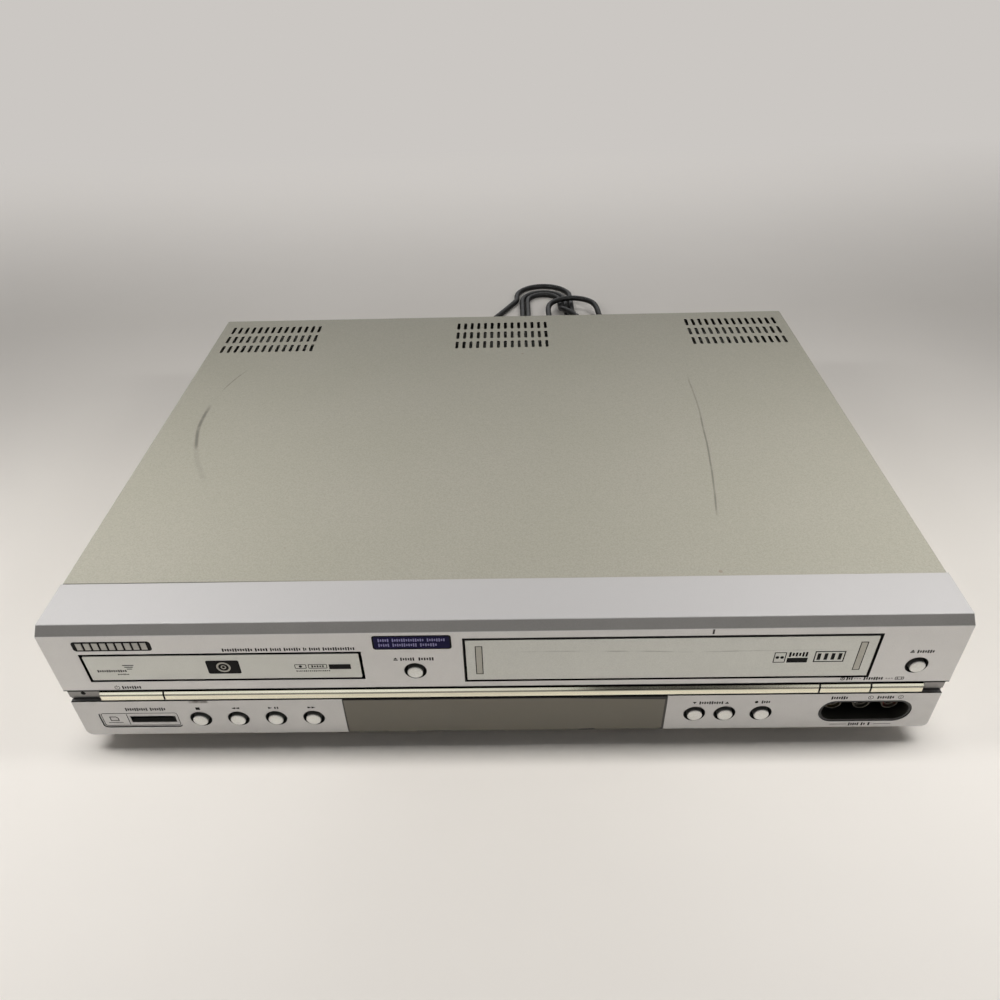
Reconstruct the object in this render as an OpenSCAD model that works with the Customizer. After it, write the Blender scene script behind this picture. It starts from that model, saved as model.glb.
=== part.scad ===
// DVD and VCR combination player, built as separate pieces.
// X runs to the right, Y to the back and Z up; the origin is at the bottom centre.
// Depths are measured back from the upper front face, drops down from the top.
// Places across the width are given for a cabinet 430 wide, and keep their share of any other width.

/* [Body] */
// Width of the cabinet
body_w = 430; // [428:1:450]
// Depth from the upper front face to the rear of the cover
body_d = 329; // [329:1:360]
// Height of the top above the surface it stands on
body_h = 85; // [85:0.5:92]
// Height of the feet
foot_h = 10; // [8:0.5:10]
// Diameter of the feet
foot_dia = 24; // [16:1:36]
// Thickness of the steel cover
cover_t = 0.8; // [0.6:0.1:1]
// Outer radius of the cover's bends
cover_bend = 1.6; // [1.2:0.1:3]
// Thickness of the steel chassis
chassis_t = 1; // [0.8:0.1:1.2]
// Height of the chassis side flanges
flange_h = 15; // [10:1:25]

/* [Vents] */
// Columns of slots in each group
vent_cols = 14; // [6:1:16]
// Rows of slots in each group
vent_rows = 3; // [1:1:4]
// Distance between two columns
vent_pitch = 5.06; // [4:0.01:6]
// Distance between two rows
vent_row_pitch = 15.5; // [13:0.5:20]
// Length of a slot
vent_len = 11; // [6:0.5:12]
// Width of a slot
vent_w = 2.2; // [1.5:0.1:3]
// Distance from one group's centre to the next
vent_group_x = 172.7; // [90:0.1:173]
// Distance from the rear edge to the last row
vent_edge = 11; // [8:0.5:20]

/* [Fascia] */
// Depth of the fascia's top band
band_d = 31; // [31:0.5:33]
// Depth of the sloping front edge
slope_d = 4.2; // [2:0.1:5]
// Height of the sloping front edge
slope_h = 4.1; // [2:0.1:5]
// Drop from the top to the trim channel
upper_h = 42.3; // [42:0.1:43]
// Height of the trim channel
channel_h = 6.3; // [5:0.1:7]
// Depth of the trim channel behind the upper face
channel_d = 2.4; // [2:0.1:3]
// How far the lower face stands in front of the upper one
lower_proud = 1.6; // [0:0.1:2]
// How far the lower face stays inside the cabinet's side
lower_inset = 2.1; // [1:0.1:4]
// Radius of the bottom corners
corner_r = 3.5; // [1:0.5:6]
// Thickness of the moulded wall
fascia_t = 2.5; // [2:0.1:2.6]
// How far the bottom of the fascia stays above the chassis floor
fascia_lift = 0.5; // [0:0.1:1]
// Depth of the clips that hold the fascia
clip_d = 8; // [4:0.5:12]

/* [Controls] */
// Diameter of a round button
button_dia = 7.4; // [7:0.1:9]
// Diameter of the dished ring around a button
dish_dia = 11.2; // [10.5:0.1:13]
// How far a button stands out
button_proud = 1.4; // [1.1:0.1:2.6]
// Travel of a button
button_travel = 1; // [0.5:0.1:1]
// Drop of the two upper buttons
upper_button_z = 30.3; // [28:0.1:33]
// Drop of the lower buttons
lower_button_z = 62.8; // [60:0.1:65]
// Centre of the open and close button
open_close_at = -40.9; // [-44:0.1:-36]
// Centre of the eject button
eject_at = 196.1; // [192:0.1:200]
// Centre of the first transport button
transport_at = -151.6; // [-153:0.1:-150]
// Distance between the transport buttons
transport_step = 19; // [17:0.1:21]
// Centre of the channel down button
channel_down_at = 95.3; // [93:0.1:96]
// Centre of the channel up button
channel_up_at = 110.2; // [109:0.1:112]
// Centre of the record button
record_at = 128.1; // [125:0.1:131]
// Left end of the power key
power_from = -197.8; // [-199:0.1:-195]
// Right end of the power key
power_to = -165.8; // [-168:0.1:-160]
// Left end of the disc select key
select_from = 153.5; // [150:0.1:156]
// Line between the two select keys
select_mid = 178.3; // [176:0.1:180]
// Right end of the cassette select key
select_to = 203.5; // [200:0.1:205]
// How far the trim's ridge stands out
ridge_proud = 1.2; // [0.5:0.1:1.5]
// Drop of the trim's ridge
ridge_z = 44.7; // [43.5:0.1:46]
// How far the foot of the trim stands out
trim_foot = 1.25; // [0.4:0.05:1.3]
// Gap around the keys
key_gap = 0.3; // [0.2:0.05:0.4]

/* [Front sockets] */
// Width of the display window
window_width = 159.4; // [130:0.1:160]
// Centre of the display window
window_at = 1.1; // [-1:0.1:2]
// Thickness of the display window
window_t = 1.6; // [1:0.1:1.8]
// Width of the card slot's frame
card_w = 40; // [36:0.1:41]
// Height of the card slot's frame
card_h = 11.2; // [9:0.1:13]
// Centre of the card slot's frame
card_at = -182.4; // [-184:0.1:-180]
// Drop of the card slot's frame
card_z = 63.2; // [61:0.1:65]
// Width of the card slot
slot_w = 22.8; // [21:0.1:24]
// Height of the card slot
slot_h = 4.8; // [4.6:0.1:6]
// Centre of the card slot from the frame's centre
slot_x = 6.4; // [0:0.1:7]
// Depth of the card slot
slot_d = 34; // [24:0.5:50]
// Width of the oval jack recess
oval_w = 45; // [44:0.1:46]
// Height of the oval jack recess
oval_h = 15.6; // [14:0.1:17]
// Centre of the oval jack recess
oval_at = 179.2; // [178:0.1:181]
// Drop of the oval jack recess
oval_z = 62; // [61:0.1:63]
// Depth of the oval jack recess
oval_d = 13; // [12:0.1:16]
// Distance between the front jacks
front_jack_pitch = 14; // [12:0.1:14]
// Outer diameter of a jack's sleeve
jack_dia = 8.4; // [8:0.1:8.6]
// Inner diameter of a jack's sleeve
jack_bore = 7; // [6:0.1:7.2]
// Length of a jack's sleeve
jack_len = 8; // [6:0.1:9]

/* [Disc drive] */
// Centre of the disc
disc_at = -132.25; // [-133:0.05:-131]
// Depth of the disc's centre with the tray shut
disc_d = 72; // [70:0.5:74]
// Width of the tray's front door
tray_door_w = 130.9; // [128:0.1:131]
// Height of the tray's front door
tray_door_h = 16.7; // [14:0.1:18]
// Drop of the tray's front door
tray_door_z = 26.05; // [25:0.05:27]
// Gap around the tray's front door
tray_gap = 1.4; // [0.5:0.1:1.6]
// Thickness of the tray's front door
tray_door_t = 2.5; // [2:0.1:3]
// Width of the tray
tray_w = 128; // [126:0.5:128]
// Thickness of the tray
tray_t = 5.6; // [5:0.1:6]
// Drop of the tray's top face
tray_top = 23.4; // [23:0.1:24]
// Diameter of the recess for a large disc
disc_recess = 121; // [120.5:0.1:122]
// Diameter of the recess for a small disc
small_recess = 81; // [80.5:0.1:84]
// Depth of each disc recess
recess_step = 1.4; // [1:0.1:1.6]
// Width of the slot for the pickup
tray_slot = 44; // [40:0.5:50]
// Depth of the tray's rear end
tray_end = 170; // [168:0.5:171]
// Travel of the tray
tray_travel = 137; // [120:0.5:138]
// Radius of the tray gear's pitch circle
gear_r = 12; // [12:0.5:12]
// Number of teeth on the tray gear
gear_teeth = 16; // [16:1:16]
// Diameter of the turntable
turntable_dia = 29; // [26:0.5:30]
// Diameter of the centring cone
cone_dia = 14.8; // [14:0.1:14.9]
// Wall of the loader frame
loader_t = 4; // [3:0.5:4]
// Travel of the laser pickup
pickup_travel = 33; // [25:0.5:34]
// Diameter of the pickup's guide rods
rod_dia = 3; // [2.5:0.1:3.5]

/* [Cassette drive] */
// Centre of the cassette
cas_at = 79; // [78:0.1:80]
// Width of the cassette door
cas_door_w = 190.6; // [190:0.1:191]
// Height of the cassette door
cas_door_h = 27.4; // [27:0.1:28]
// Drop of the cassette door's centre
cas_door_z = 23.7; // [23.5:0.1:23.9]
// Thickness of the cassette door
cas_door_t = 2.2; // [1.8:0.1:2.4]
// Gap around the cassette door
cas_gap = 0.8; // [0.5:0.05:0.8]
// Depth of the cassette door's pins
hinge_d = 4.2; // [4.2:0.1:4.4]
// Diameter of the cassette door's pins
hinge_pin = 2.5; // [2:0.1:2.5]
// Width of the cassette
cassette_w = 188; // [187.5:0.1:188]
// Height of the cassette
cassette_h = 25; // [24.8:0.1:25.2]
// Depth of the cassette holder
holder_d = 96; // [90:0.5:97]
// Sheet thickness of the cassette holder
sheet_t = 0.8; // [0.6:0.1:0.8]
// Travel of the holder into the deck
holder_in = 50; // [40:0.5:50]
// Travel of the holder down onto the reels
holder_drop = 13; // [10:0.5:13]
// Depth of the head drum's centre
drum_d = 216; // [215:0.5:218]
// Diameter of the head drum
drum_dia = 62; // [60:0.5:62]
// Height of the deck plate's underside above the chassis
deck_lift = 13; // [12.5:0.1:13.4]
// Thickness of the deck plate
deck_t = 1.2; // [1:0.1:1.4]
// Distance between the two reels
reel_pitch = 92.4; // [91:0.1:93]
// Diameter of a reel table
reel_dia = 34; // [30:0.5:40]
// Travel of the tape guides
guide_travel = 44; // [30:0.5:45]
// Diameter of the capstan
capstan_dia = 3; // [2.5:0.1:3]
// Diameter of the pinch roller
pinch_dia = 13; // [11:0.1:13]

/* [Rear panel] */
// Columns of rear jacks
rear_cols = 6; // [3:1:7]
// Distance between the rear jacks
rear_pitch = 15; // [12:0.5:15]
// Centre of the first column of rear jacks
rear_at = -165; // [-170:1:-140]
// Height of the lower rear jacks above the chassis
rear_z = 24; // [20:0.5:26]
// How far the rear jacks stand out of the cover
rear_reach = 8; // [7:0.1:8]
// Centre of the aerial sockets
aerial_at = 18; // [10:1:30]
// Distance between the aerial sockets
aerial_pitch = 24; // [20:1:26]

/* [Power cord] */
// Diameter of the cord
cord_dia = 5.4; // [5.4:0.1:5.4]
// Centre of the cord's outlet
cord_at = 150; // [148:1:152]
// Height of the cord's outlet above the chassis
cord_z = 26; // [24:0.5:28]
// Length of the tapered sleeve on the cord
sleeve_len = 24; // [20:1:30]
// Width of the cord's hank
hank_w = 61.4; // [61.4:0.1:61.4]
// Length of the cord's hank
hank_len = 158; // [158:1:158]
// Width of the plug
plug_w = 25; // [20:0.5:30]
// Height of the plug
plug_h = 16; // [12:0.5:20]
// Length of the plug
plug_len = 34; // [28:0.5:40]

/* [Hidden] */
$fn = 48;

// Clearances
run_fit = 0.05; // around a shaft in its bore, on the radius
gap = 0.3; // between neighbours that don't touch
eps = 0.1; // overshoot of a cut

// Places across the width, as shares of the cabinet's width
wide = body_w / 430;
open_close_x = open_close_at * wide;
eject_x = eject_at * wide;
transport_x = transport_at * wide;
transport_pitch = transport_step * wide;
channel_down_x = channel_down_at * wide;
channel_up_x = channel_up_at * wide;
record_x = record_at * wide;
power_x0 = power_from * wide;
power_x1 = power_to * wide;
select_x0 = select_from * wide;
select_x1 = select_mid * wide;
select_x2 = select_to * wide;
window_w = window_width * wide;
window_x = window_at * wide;
card_x = card_at * wide;
oval_x = oval_at * wide;
disc_x = disc_at * wide;
cas_x = cas_at * wide;
rear_x = rear_at * wide;
aerial_x = aerial_at * wide;
cord_x = cord_at * wide;

// Place of the body: the origin is half way between the buttons' room and the rear jacks
front_reach = lower_proud + 2.4;
total_d = front_reach + body_d + rear_reach;
front_y = -total_d / 2 + front_reach;
chassis_z = foot_h + chassis_t;
cover_in = body_w / 2 - cover_t;
panel_d = body_d - 2 * cover_t;
fascia_z0 = foot_h + fascia_lift;
channel_z = upper_h + channel_h;
lower_w = body_w - 2 * lower_inset;

function fy(d) = front_y + d; // Y of a depth behind the upper face
function tz(h) = body_h - h; // Z of a drop below the top

// A box from two corners, given as depth behind the upper face
module block(x0, x1, d0, d1, z0, z1) {
  translate([x0, fy(d0), z0]) cube([x1 - x0, d1 - d0, z1 - z0]);
}

// A cylinder along Z
module post(x, d, z0, z1, dia) {
  translate([x, fy(d), z0]) cylinder(h = z1 - z0, d = dia);
}

// A cylinder along Y, pointing back
module rod_y(x, z, d0, d1, dia) {
  translate([x, fy(d0), z]) rotate([-90, 0, 0]) cylinder(h = d1 - d0, d = dia);
}

// A cone along Y, pointing back
module cone_y(x, z, d0, d1, dia0, dia1) {
  translate([x, fy(d0), z]) rotate([-90, 0, 0]) cylinder(h = d1 - d0, d1 = dia0, d2 = dia1);
}

// A cylinder along X
module rod_x(d, z, x0, x1, dia) {
  translate([x0, fy(d), z]) rotate([0, 90, 0]) cylinder(h = x1 - x0, d = dia);
}

// A rounded rectangle seen from the front, pushed back from d0 to d1
module plate_y(x, z, w, h, r, d0, d1) {
  translate([x, fy(d1), z]) rotate([90, 0, 0]) linear_extrude(d1 - d0) {
    square([w - 2 * r, h], center = true);
    square([w, h - 2 * r], center = true);
    for (sx = [-1, 1], sz = [-1, 1])
      translate([sx * (w / 2 - r), sz * (h / 2 - r)]) circle(r);
  }
}

// A profile in depth and height, pushed along X
module profile_x(points, x0, x1) {
  translate([x0, 0, 0]) rotate([90, 0, 90]) linear_extrude(x1 - x0)
    polygon([for (p = points) [fy(p[0]), p[1]]]);
}

// ---- Chassis, cover and feet ----
foot_d = [60, body_d - 39];
foot_x = body_w / 2 - 40;
rear_screw_x = [-body_w / 2 + 20, 0, body_w / 2 - 20];
side_screw_d = [70, body_d - 49];
screw_z = foot_h + 11;
screw_head = 7;
screw_head_h = 1.8;
screw_shank = 3;
lip_h = 9;
boss_dia = 7;
board_z = chassis_z + 7;
board_t = 1.6;
// Bay between the cassette deck and the rear panel, where the rear boards lie
bay_d = drum_d + drum_dia / 2 + 15;
bay = panel_d - 0.5 - bay_d;
board_d = tray_end + 22;
main_x = [-205 * wide, -30 * wide, 60 * wide];
power_x = [72 * wide, 206 * wide];
boss_in = 8;
boss_at = [[main_x[0] + boss_in + 7, board_d + boss_in], [main_x[1] - boss_in - 7, board_d + boss_in],
  [main_x[0] + boss_in + 7, bay_d + 0.74 * bay], [main_x[2] - boss_in - 2, bay_d + 0.74 * bay],
  [power_x[0] + boss_in, bay_d + 0.12 * bay], [power_x[1] - boss_in - 3, bay_d + 0.12 * bay],
  [power_x[1] - boss_in - 3, bay_d + 0.77 * bay]];
chassis_slot = 4;
chassis_slot_pitch = 12;

module chassis_vent(x, d0, d1) {
  block(x, x + chassis_slot, d0, d1, foot_h - eps, chassis_z + eps);
}

module bottom_chassis() color("silver") difference() {
  union() {
    block(-cover_in, cover_in, band_d, panel_d, foot_h, chassis_z);
    for (s = [-1, 1])
      block(s * cover_in - (s > 0 ? chassis_t : 0), s * cover_in + (s > 0 ? 0 : chassis_t),
        band_d, panel_d, chassis_z, chassis_z + flange_h);
    for (p = boss_at) post(p[0], p[1], chassis_z, board_z, boss_dia);
  }
  for (k = [0 : 7]) chassis_vent(disc_x - 17.75 + k * chassis_slot_pitch, disc_d + 38, disc_d + 78);
  for (k = [0 : 5]) chassis_vent(power_x[0] + 2 * boss_in + k * chassis_slot_pitch, bay_d + 0.12 * bay,
    bay_d + 0.66 * bay);
}

module feet() color("dimgray") for (x = [-foot_x, foot_x], d = foot_d) difference() {
  union() {
    post(x, d, 0, foot_h, foot_dia);
    post(x, d, 2, foot_h - 2, foot_dia + 2);
  }
  post(x, d, -eps, foot_h - 3, foot_dia / 2);
  post(x, d, foot_h - 3 - eps, foot_h + eps, screw_shank + 0.4);
}

module vent_slot(x, d) {
  r = vent_w / 2;
  translate([x, fy(d), tz(cover_t) - eps]) linear_extrude(cover_t + 2 * eps) {
    translate([-r, r]) square([vent_w, vent_len - vent_w]);
    translate([0, r]) circle(r, $fn = 16);
    translate([0, vent_len - r]) circle(r, $fn = 16);
  }
}

// The cabinet's section seen from the front, with its upper corners bent
module cover_section(w, h, r) {
  translate([-w / 2, 0]) square([w, h - r]);
  translate([r - w / 2, 0]) square([w - 2 * r, h]);
  for (s = [-1, 1]) translate([s * (w / 2 - r), h - r]) circle(r);
}

module top_cover() color([0.66, 0.65, 0.61]) difference() {
  union() {
    translate([0, fy(body_d), foot_h]) rotate([90, 0, 0]) linear_extrude(body_d - band_d) difference() {
      cover_section(body_w, body_h - foot_h, cover_bend);
      translate([0, -eps])
        cover_section(2 * cover_in, body_h - foot_h - cover_t + eps, cover_bend - cover_t);
    }
    block(-cover_in, cover_in, body_d - cover_t, body_d, tz(cover_t + lip_h), tz(cover_t));
  }
  for (g = [-1 : 1], c = [0 : vent_cols - 1], r = [0 : vent_rows - 1])
    vent_slot(g * vent_group_x * wide + (c - (vent_cols - 1) / 2) * vent_pitch,
      body_d - vent_edge - vent_len - r * vent_row_pitch);
  for (x = rear_screw_x) rod_y(x, tz(cover_t + lip_h / 2), body_d - 2, body_d + 1, screw_shank);
  for (s = [-1, 1], d = side_screw_d)
    rod_x(d, screw_z, s * body_w / 2 - 2, s * body_w / 2 + 2, screw_shank);
}

module cover_screws() color("gray") {
  for (x = rear_screw_x) {
    rod_y(x, tz(cover_t + lip_h / 2), body_d - cover_t, body_d + screw_head_h, screw_shank);
    rod_y(x, tz(cover_t + lip_h / 2), body_d, body_d + screw_head_h, screw_head);
  }
  for (s = [-1, 1], d = side_screw_d) {
    rod_x(d, screw_z, s > 0 ? cover_in : -body_w / 2 - screw_head_h,
      s > 0 ? body_w / 2 + screw_head_h : -cover_in, screw_shank);
    rod_x(d, screw_z, s > 0 ? body_w / 2 : -body_w / 2 - screw_head_h,
      s > 0 ? body_w / 2 + screw_head_h : -body_w / 2, screw_head);
  }
}

// ---- Rear panel and its sockets ----
jack_z = [chassis_z + rear_z, chassis_z + rear_z + 17];
barrel_dia = 9.4;
svideo_x = rear_x + rear_cols * rear_pitch + 4;
svideo_dia = 13;
aerial_z = chassis_z + 28;
aerial_dia = 9.5;
outlet_z = chassis_z + cord_z;
outlet_dia = 11;
panel_out = panel_d + cover_t;

module rear_panel() color("silver") difference() {
  translate([0, fy(panel_out), foot_h]) rotate([90, 0, 0]) linear_extrude(cover_t)
    cover_section(2 * cover_in, body_h - foot_h - cover_t, cover_bend - cover_t);
  for (c = [0 : rear_cols - 1], z = jack_z)
    rod_y(rear_x + c * rear_pitch, z, panel_d - 1, panel_out + 1, barrel_dia + 2 * gap);
  rod_y(svideo_x, jack_z[1], panel_d - 1, panel_out + 1, svideo_dia + 2 * gap);
  for (k = [0, 1])
    rod_y(aerial_x + k * aerial_pitch, aerial_z, panel_d - 1, panel_out + 1, aerial_dia + 2 * gap);
  rod_y(cord_x, outlet_z, panel_d - 1, panel_out + 1, outlet_dia);
  for (x = rear_screw_x)
    rod_y(x, tz(cover_t + lip_h / 2), panel_d - 1, panel_out + 1, screw_shank - 0.5);
}

module rear_jack_block() color([0.12, 0.12, 0.13]) {
  x0 = rear_x - rear_pitch / 2;
  x1 = svideo_x + svideo_dia / 2 + 3;
  block(x0, x1, panel_d - 14, panel_d, board_z + board_t, jack_z[1] + 9);
  for (c = [0 : rear_cols - 1], z = jack_z) difference() {
    rod_y(rear_x + c * rear_pitch, z, panel_d, body_d + 1, barrel_dia);
    rod_y(rear_x + c * rear_pitch, z, panel_d + eps, body_d + 2, jack_dia);
  }
  difference() {
    rod_y(svideo_x, jack_z[1], panel_d, body_d + 1.2, svideo_dia);
    rod_y(svideo_x, jack_z[1], panel_d + eps, body_d + 2, svideo_dia - 3);
  }
}

module rear_jacks() color("gold") for (c = [0 : rear_cols - 1], z = jack_z) {
  x = rear_x + c * rear_pitch;
  difference() {
    rod_y(x, z, panel_d + eps, body_d + rear_reach, jack_dia);
    rod_y(x, z, panel_d + 1.5, body_d + rear_reach + 1, jack_bore);
  }
  difference() {
    rod_y(x, z, panel_d + 1.5, body_d + rear_reach - 1, 5);
    rod_y(x, z, panel_d + 3, body_d + rear_reach, 3.3);
  }
}

module tuner_module() color("silver") {
  x0 = aerial_x - 12;
  x1 = aerial_x + aerial_pitch + 12;
  block(x0, x1, panel_d - 0.86 * bay, panel_d, board_z + board_t, aerial_z + 9);
  for (k = [0, 1]) difference() {
    union() {
      rod_y(aerial_x + k * aerial_pitch, aerial_z, panel_d, body_d + rear_reach, aerial_dia);
      translate([aerial_x + k * aerial_pitch, fy(panel_out), aerial_z])
        rotate([-90, 0, 0]) cylinder(h = 2, d = aerial_dia + 3.5, $fn = 6);
    }
    rod_y(aerial_x + k * aerial_pitch, aerial_z, panel_d + 4, body_d + rear_reach + 1, aerial_dia - 2);
  }
}

module cord_bush() color([0.08, 0.08, 0.08]) {
  rod_y(cord_x, outlet_z, panel_d - 2, panel_d, outlet_dia + 3);
  rod_y(cord_x, outlet_z, panel_d, panel_out, outlet_dia);
  rod_y(cord_x, outlet_z, panel_out, panel_out + 2.5, outlet_dia + 4);
  cone_y(cord_x, outlet_z, panel_out + 2.5, panel_out + 2.5 + sleeve_len, outlet_dia - 1, cord_dia + 2);
}

// ---- Front fascia ----
upper_btn_z = tz(upper_button_z);
lower_btn_z = tz(lower_button_z);
upper_btn_x = [open_close_x, eject_x];
lower_btn_x = [transport_x, transport_x + transport_pitch, transport_x + 2 * transport_pitch,
  transport_x + 3 * transport_pitch, channel_down_x, channel_up_x, record_x];
hole_dia = button_dia + 2 * gap;
dish_d = 1.5;
tray_open_w = tray_door_w + 2 * tray_gap;
tray_open_h = tray_door_h + 2 * tray_gap;
cas_open_w = cas_door_w + 2 * cas_gap;
cas_open_h = cas_door_h + 2 * cas_gap;
hinge_z = tz(cas_door_z) + cas_door_h / 2 - 1.2;
pin_len = 3;
lug_w = 4;
lug_r = 3;
channel_inset = 1.5;
step_z = tz(upper_h + 0.75 * channel_h);
key_z = tz(upper_h + 0.54 * channel_h);
lip_t = 1.3;
window_z0 = fascia_z0;
window_z1 = tz(channel_z + 0.8);
key_stem = 3;
stem_x = [power_x0 + 8, power_x1 - 8, select_x0 + 6, select_x1 - 6, select_x1 + 6, select_x2 - 6];
peg_x = [for (k = [0 : 4]) power_x1 + 20 + k * (select_x0 - power_x1 - 40) / 4];
peg_dia = 3;
board_face = 11;
board_boss_x = [transport_x + transport_pitch / 2, window_x - window_w / 2 - 5.5,
  window_x + window_w / 2 + 5, record_x + 17];
switch_h = 4.3;
switch_w = 6;
stem_end = board_face - switch_h - button_travel - 0.2;

module fascia_shell() difference() {
  union() {
    profile_x([[band_d, body_h], [slope_d, body_h], [0, tz(slope_h)], [0, tz(upper_h)],
      [band_d, tz(upper_h)]], -body_w / 2, body_w / 2);
    block(channel_inset - body_w / 2, body_w / 2 - channel_inset, channel_d, band_d,
      tz(channel_z), tz(upper_h));
    for (s = [-1, 1]) {
      xa = s < 0 ? channel_inset - body_w / 2 : select_x2 + key_gap;
      xb = s < 0 ? power_x0 - key_gap : body_w / 2 - channel_inset;
      block(xa, xb, 0.2, channel_d, step_z, tz(upper_h));
      block(xa, xb, 0.9, channel_d, tz(channel_z), step_z);
    }
    plate_y(0, (fascia_z0 + tz(channel_z)) / 2, lower_w, tz(channel_z) - fascia_z0, corner_r,
      -lower_proud, band_d);
    block(-lower_w / 2, lower_w / 2, -lower_proud, band_d, tz(channel_z) - corner_r, tz(channel_z));
  }
  // Hollow behind the upper face, the channel and the lower face
  profile_x([[fascia_t, tz(upper_h) + lip_t], [fascia_t, tz(slope_h + 0.4 * fascia_t)],
    [slope_d + 0.4 * fascia_t, tz(fascia_t)], [band_d + 1, tz(fascia_t)],
    [band_d + 1, tz(upper_h) + lip_t]], fascia_t - body_w / 2, body_w / 2 - fascia_t);
  block(fascia_t - lower_w / 2, lower_w / 2 - fascia_t, channel_d + fascia_t, band_d + 1,
    tz(channel_z) - fascia_t, tz(upper_h) + fascia_t);
  block(fascia_t - lower_w / 2, lower_w / 2 - fascia_t, fascia_t - lower_proud, band_d + 1,
    fascia_z0 + fascia_t, tz(channel_z) - lip_t);
}

module front_fascia() color([0.69, 0.68, 0.66]) difference() {
  union() {
    fascia_shell();
    for (x = [-150 * wide, 0, 150 * wide]) {
      block(x - 8, x + 8, band_d - 4, band_d + clip_d, chassis_z, fascia_z0 + fascia_t);
      block(x - 8, x + 8, band_d - 4, band_d + clip_d, tz(fascia_t + 1), tz(cover_t));
    }
    for (x = board_boss_x)
      rod_y(x, lower_btn_z, fascia_t - lower_proud - eps, board_face, 4);
    for (s = [-1, 1]) {
      x = cas_x + s * (cas_door_w / 2 + cas_gap + lug_w / 2);
      hull() {
        rod_x(hinge_d, hinge_z, x - lug_w / 2, x + lug_w / 2, 2 * lug_r);
        block(x - lug_w / 2, x + lug_w / 2, fascia_t - 1, fascia_t, hinge_z - 5, hinge_z + 5);
      }
    }
  }
  block(disc_x - tray_open_w / 2, disc_x + tray_open_w / 2, -1, fascia_t + 1,
    tz(tray_door_z) - tray_open_h / 2, tz(tray_door_z) + tray_open_h / 2);
  block(cas_x - cas_open_w / 2, cas_x + cas_open_w / 2, -1, fascia_t + 1,
    tz(cas_door_z) - cas_open_h / 2, tz(cas_door_z) + cas_open_h / 2);
  rod_x(hinge_d, hinge_z, cas_x - cas_open_w / 2 - pin_len, cas_x + cas_open_w / 2 + pin_len,
    hinge_pin + 2 * run_fit);
  for (x = upper_btn_x) {
    cone_y(x, upper_btn_z, -eps, dish_d, dish_dia, hole_dia);
    rod_y(x, upper_btn_z, 0, fascia_t + 1, hole_dia);
  }
  for (x = lower_btn_x) {
    cone_y(x, lower_btn_z, -lower_proud - eps, dish_d - lower_proud, dish_dia, hole_dia);
    rod_y(x, lower_btn_z, -lower_proud, fascia_t, hole_dia);
  }
  for (x = stem_x) rod_y(x, key_z, channel_d - 1, channel_d + fascia_t + 1, key_stem + 2 * gap);
  for (x = peg_x) rod_y(x, key_z, channel_d - 1, channel_d + fascia_t + 1, peg_dia + 0.2);
  block(window_x - window_w / 2 - 0.2, window_x + window_w / 2 + 0.2, -lower_proud - 1,
    window_t - lower_proud, window_z0 - 1, window_z1 + 0.2);
  block(window_x - window_w / 2 + 2, window_x + window_w / 2 - 2, -lower_proud, fascia_t,
    window_z0 + fascia_t + 1, window_z1 - 2);
  plate_y(card_x, tz(card_z), card_w + 0.4, card_h + 0.4, 2, -lower_proud - 1, fascia_t);
  plate_y(oval_x, tz(oval_z), oval_w + 0.4, oval_h + 0.4, oval_h / 2, -lower_proud - 1, fascia_t);
  rod_y(9 - body_w / 2, tz(44.2), -1, channel_d + fascia_t + 1, 2.4);
}

// ---- Trim strip and keys ----
module trim_bar(x0, x1, back) {
  top = tz(upper_h + 2 * key_gap);
  foot = tz(channel_z - key_gap);
  profile_x([[-0.2, top], [-ridge_proud, tz(ridge_z)], [-trim_foot, foot], [back, foot], [back, top]],
    x0, x1);
}

module trim_strip() color([0.9, 0.89, 0.8]) {
  trim_bar(power_x1 + key_gap, select_x0 - key_gap, channel_d);
  for (x = peg_x) rod_y(x, key_z, channel_d - 1, channel_d + fascia_t + 0.5, peg_dia);
}

module key(x0, x1, stems) {
  trim_bar(x0 + key_gap, x1 - key_gap, channel_d - button_travel - 0.2);
  for (x = stems) rod_y(x, key_z, 0, stem_end, key_stem);
}

module power_button() color([0.9, 0.89, 0.8]) key(power_x0, power_x1, [stem_x[0], stem_x[1]]);
module dvd_select_button() color([0.9, 0.89, 0.8]) key(select_x0, select_x1, [stem_x[2], stem_x[3]]);
module vcr_select_button() color([0.9, 0.89, 0.8]) key(select_x1, select_x2, [stem_x[4], stem_x[5]]);

// A round push button with a slightly domed cap, a collar behind the wall and a stem
module push_button(x, z, face) {
  inside = face + fascia_t + button_travel + 0.2;
  dome = 0.5;
  r = button_dia / 2;
  translate([x, fy(face - button_proud + dome), z]) rotate([90, 0, 0]) rotate_extrude()
    polygon([[0, 0], [r, 0], [r, dome * 0.3], [r * 0.85, dome * 0.75], [r * 0.5, dome], [0, dome]]);
  rod_y(x, z, face - button_proud + dome, face + fascia_t + gap, button_dia);
  rod_y(x, z, face + fascia_t + gap, face + fascia_t + gap + 1, button_dia + 2);
  rod_y(x, z, face + fascia_t + gap, stem_end, key_stem);
}

module open_close_button() color("gainsboro") push_button(open_close_x, upper_btn_z, 0);
module eject_button() color("gainsboro") push_button(eject_x, upper_btn_z, 0);
module stop_button() color("gainsboro") push_button(lower_btn_x[0], lower_btn_z, -lower_proud);
module rewind_button() color("gainsboro") push_button(lower_btn_x[1], lower_btn_z, -lower_proud);
module play_pause_button() color("gainsboro") push_button(lower_btn_x[2], lower_btn_z, -lower_proud);
module fast_forward_button() color("gainsboro") push_button(lower_btn_x[3], lower_btn_z, -lower_proud);
module channel_down_button() color("gainsboro") push_button(channel_down_x, lower_btn_z, -lower_proud);
module channel_up_button() color("gainsboro") push_button(channel_up_x, lower_btn_z, -lower_proud);
module record_button() color("gainsboro") push_button(record_x, lower_btn_z, -lower_proud);

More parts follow.
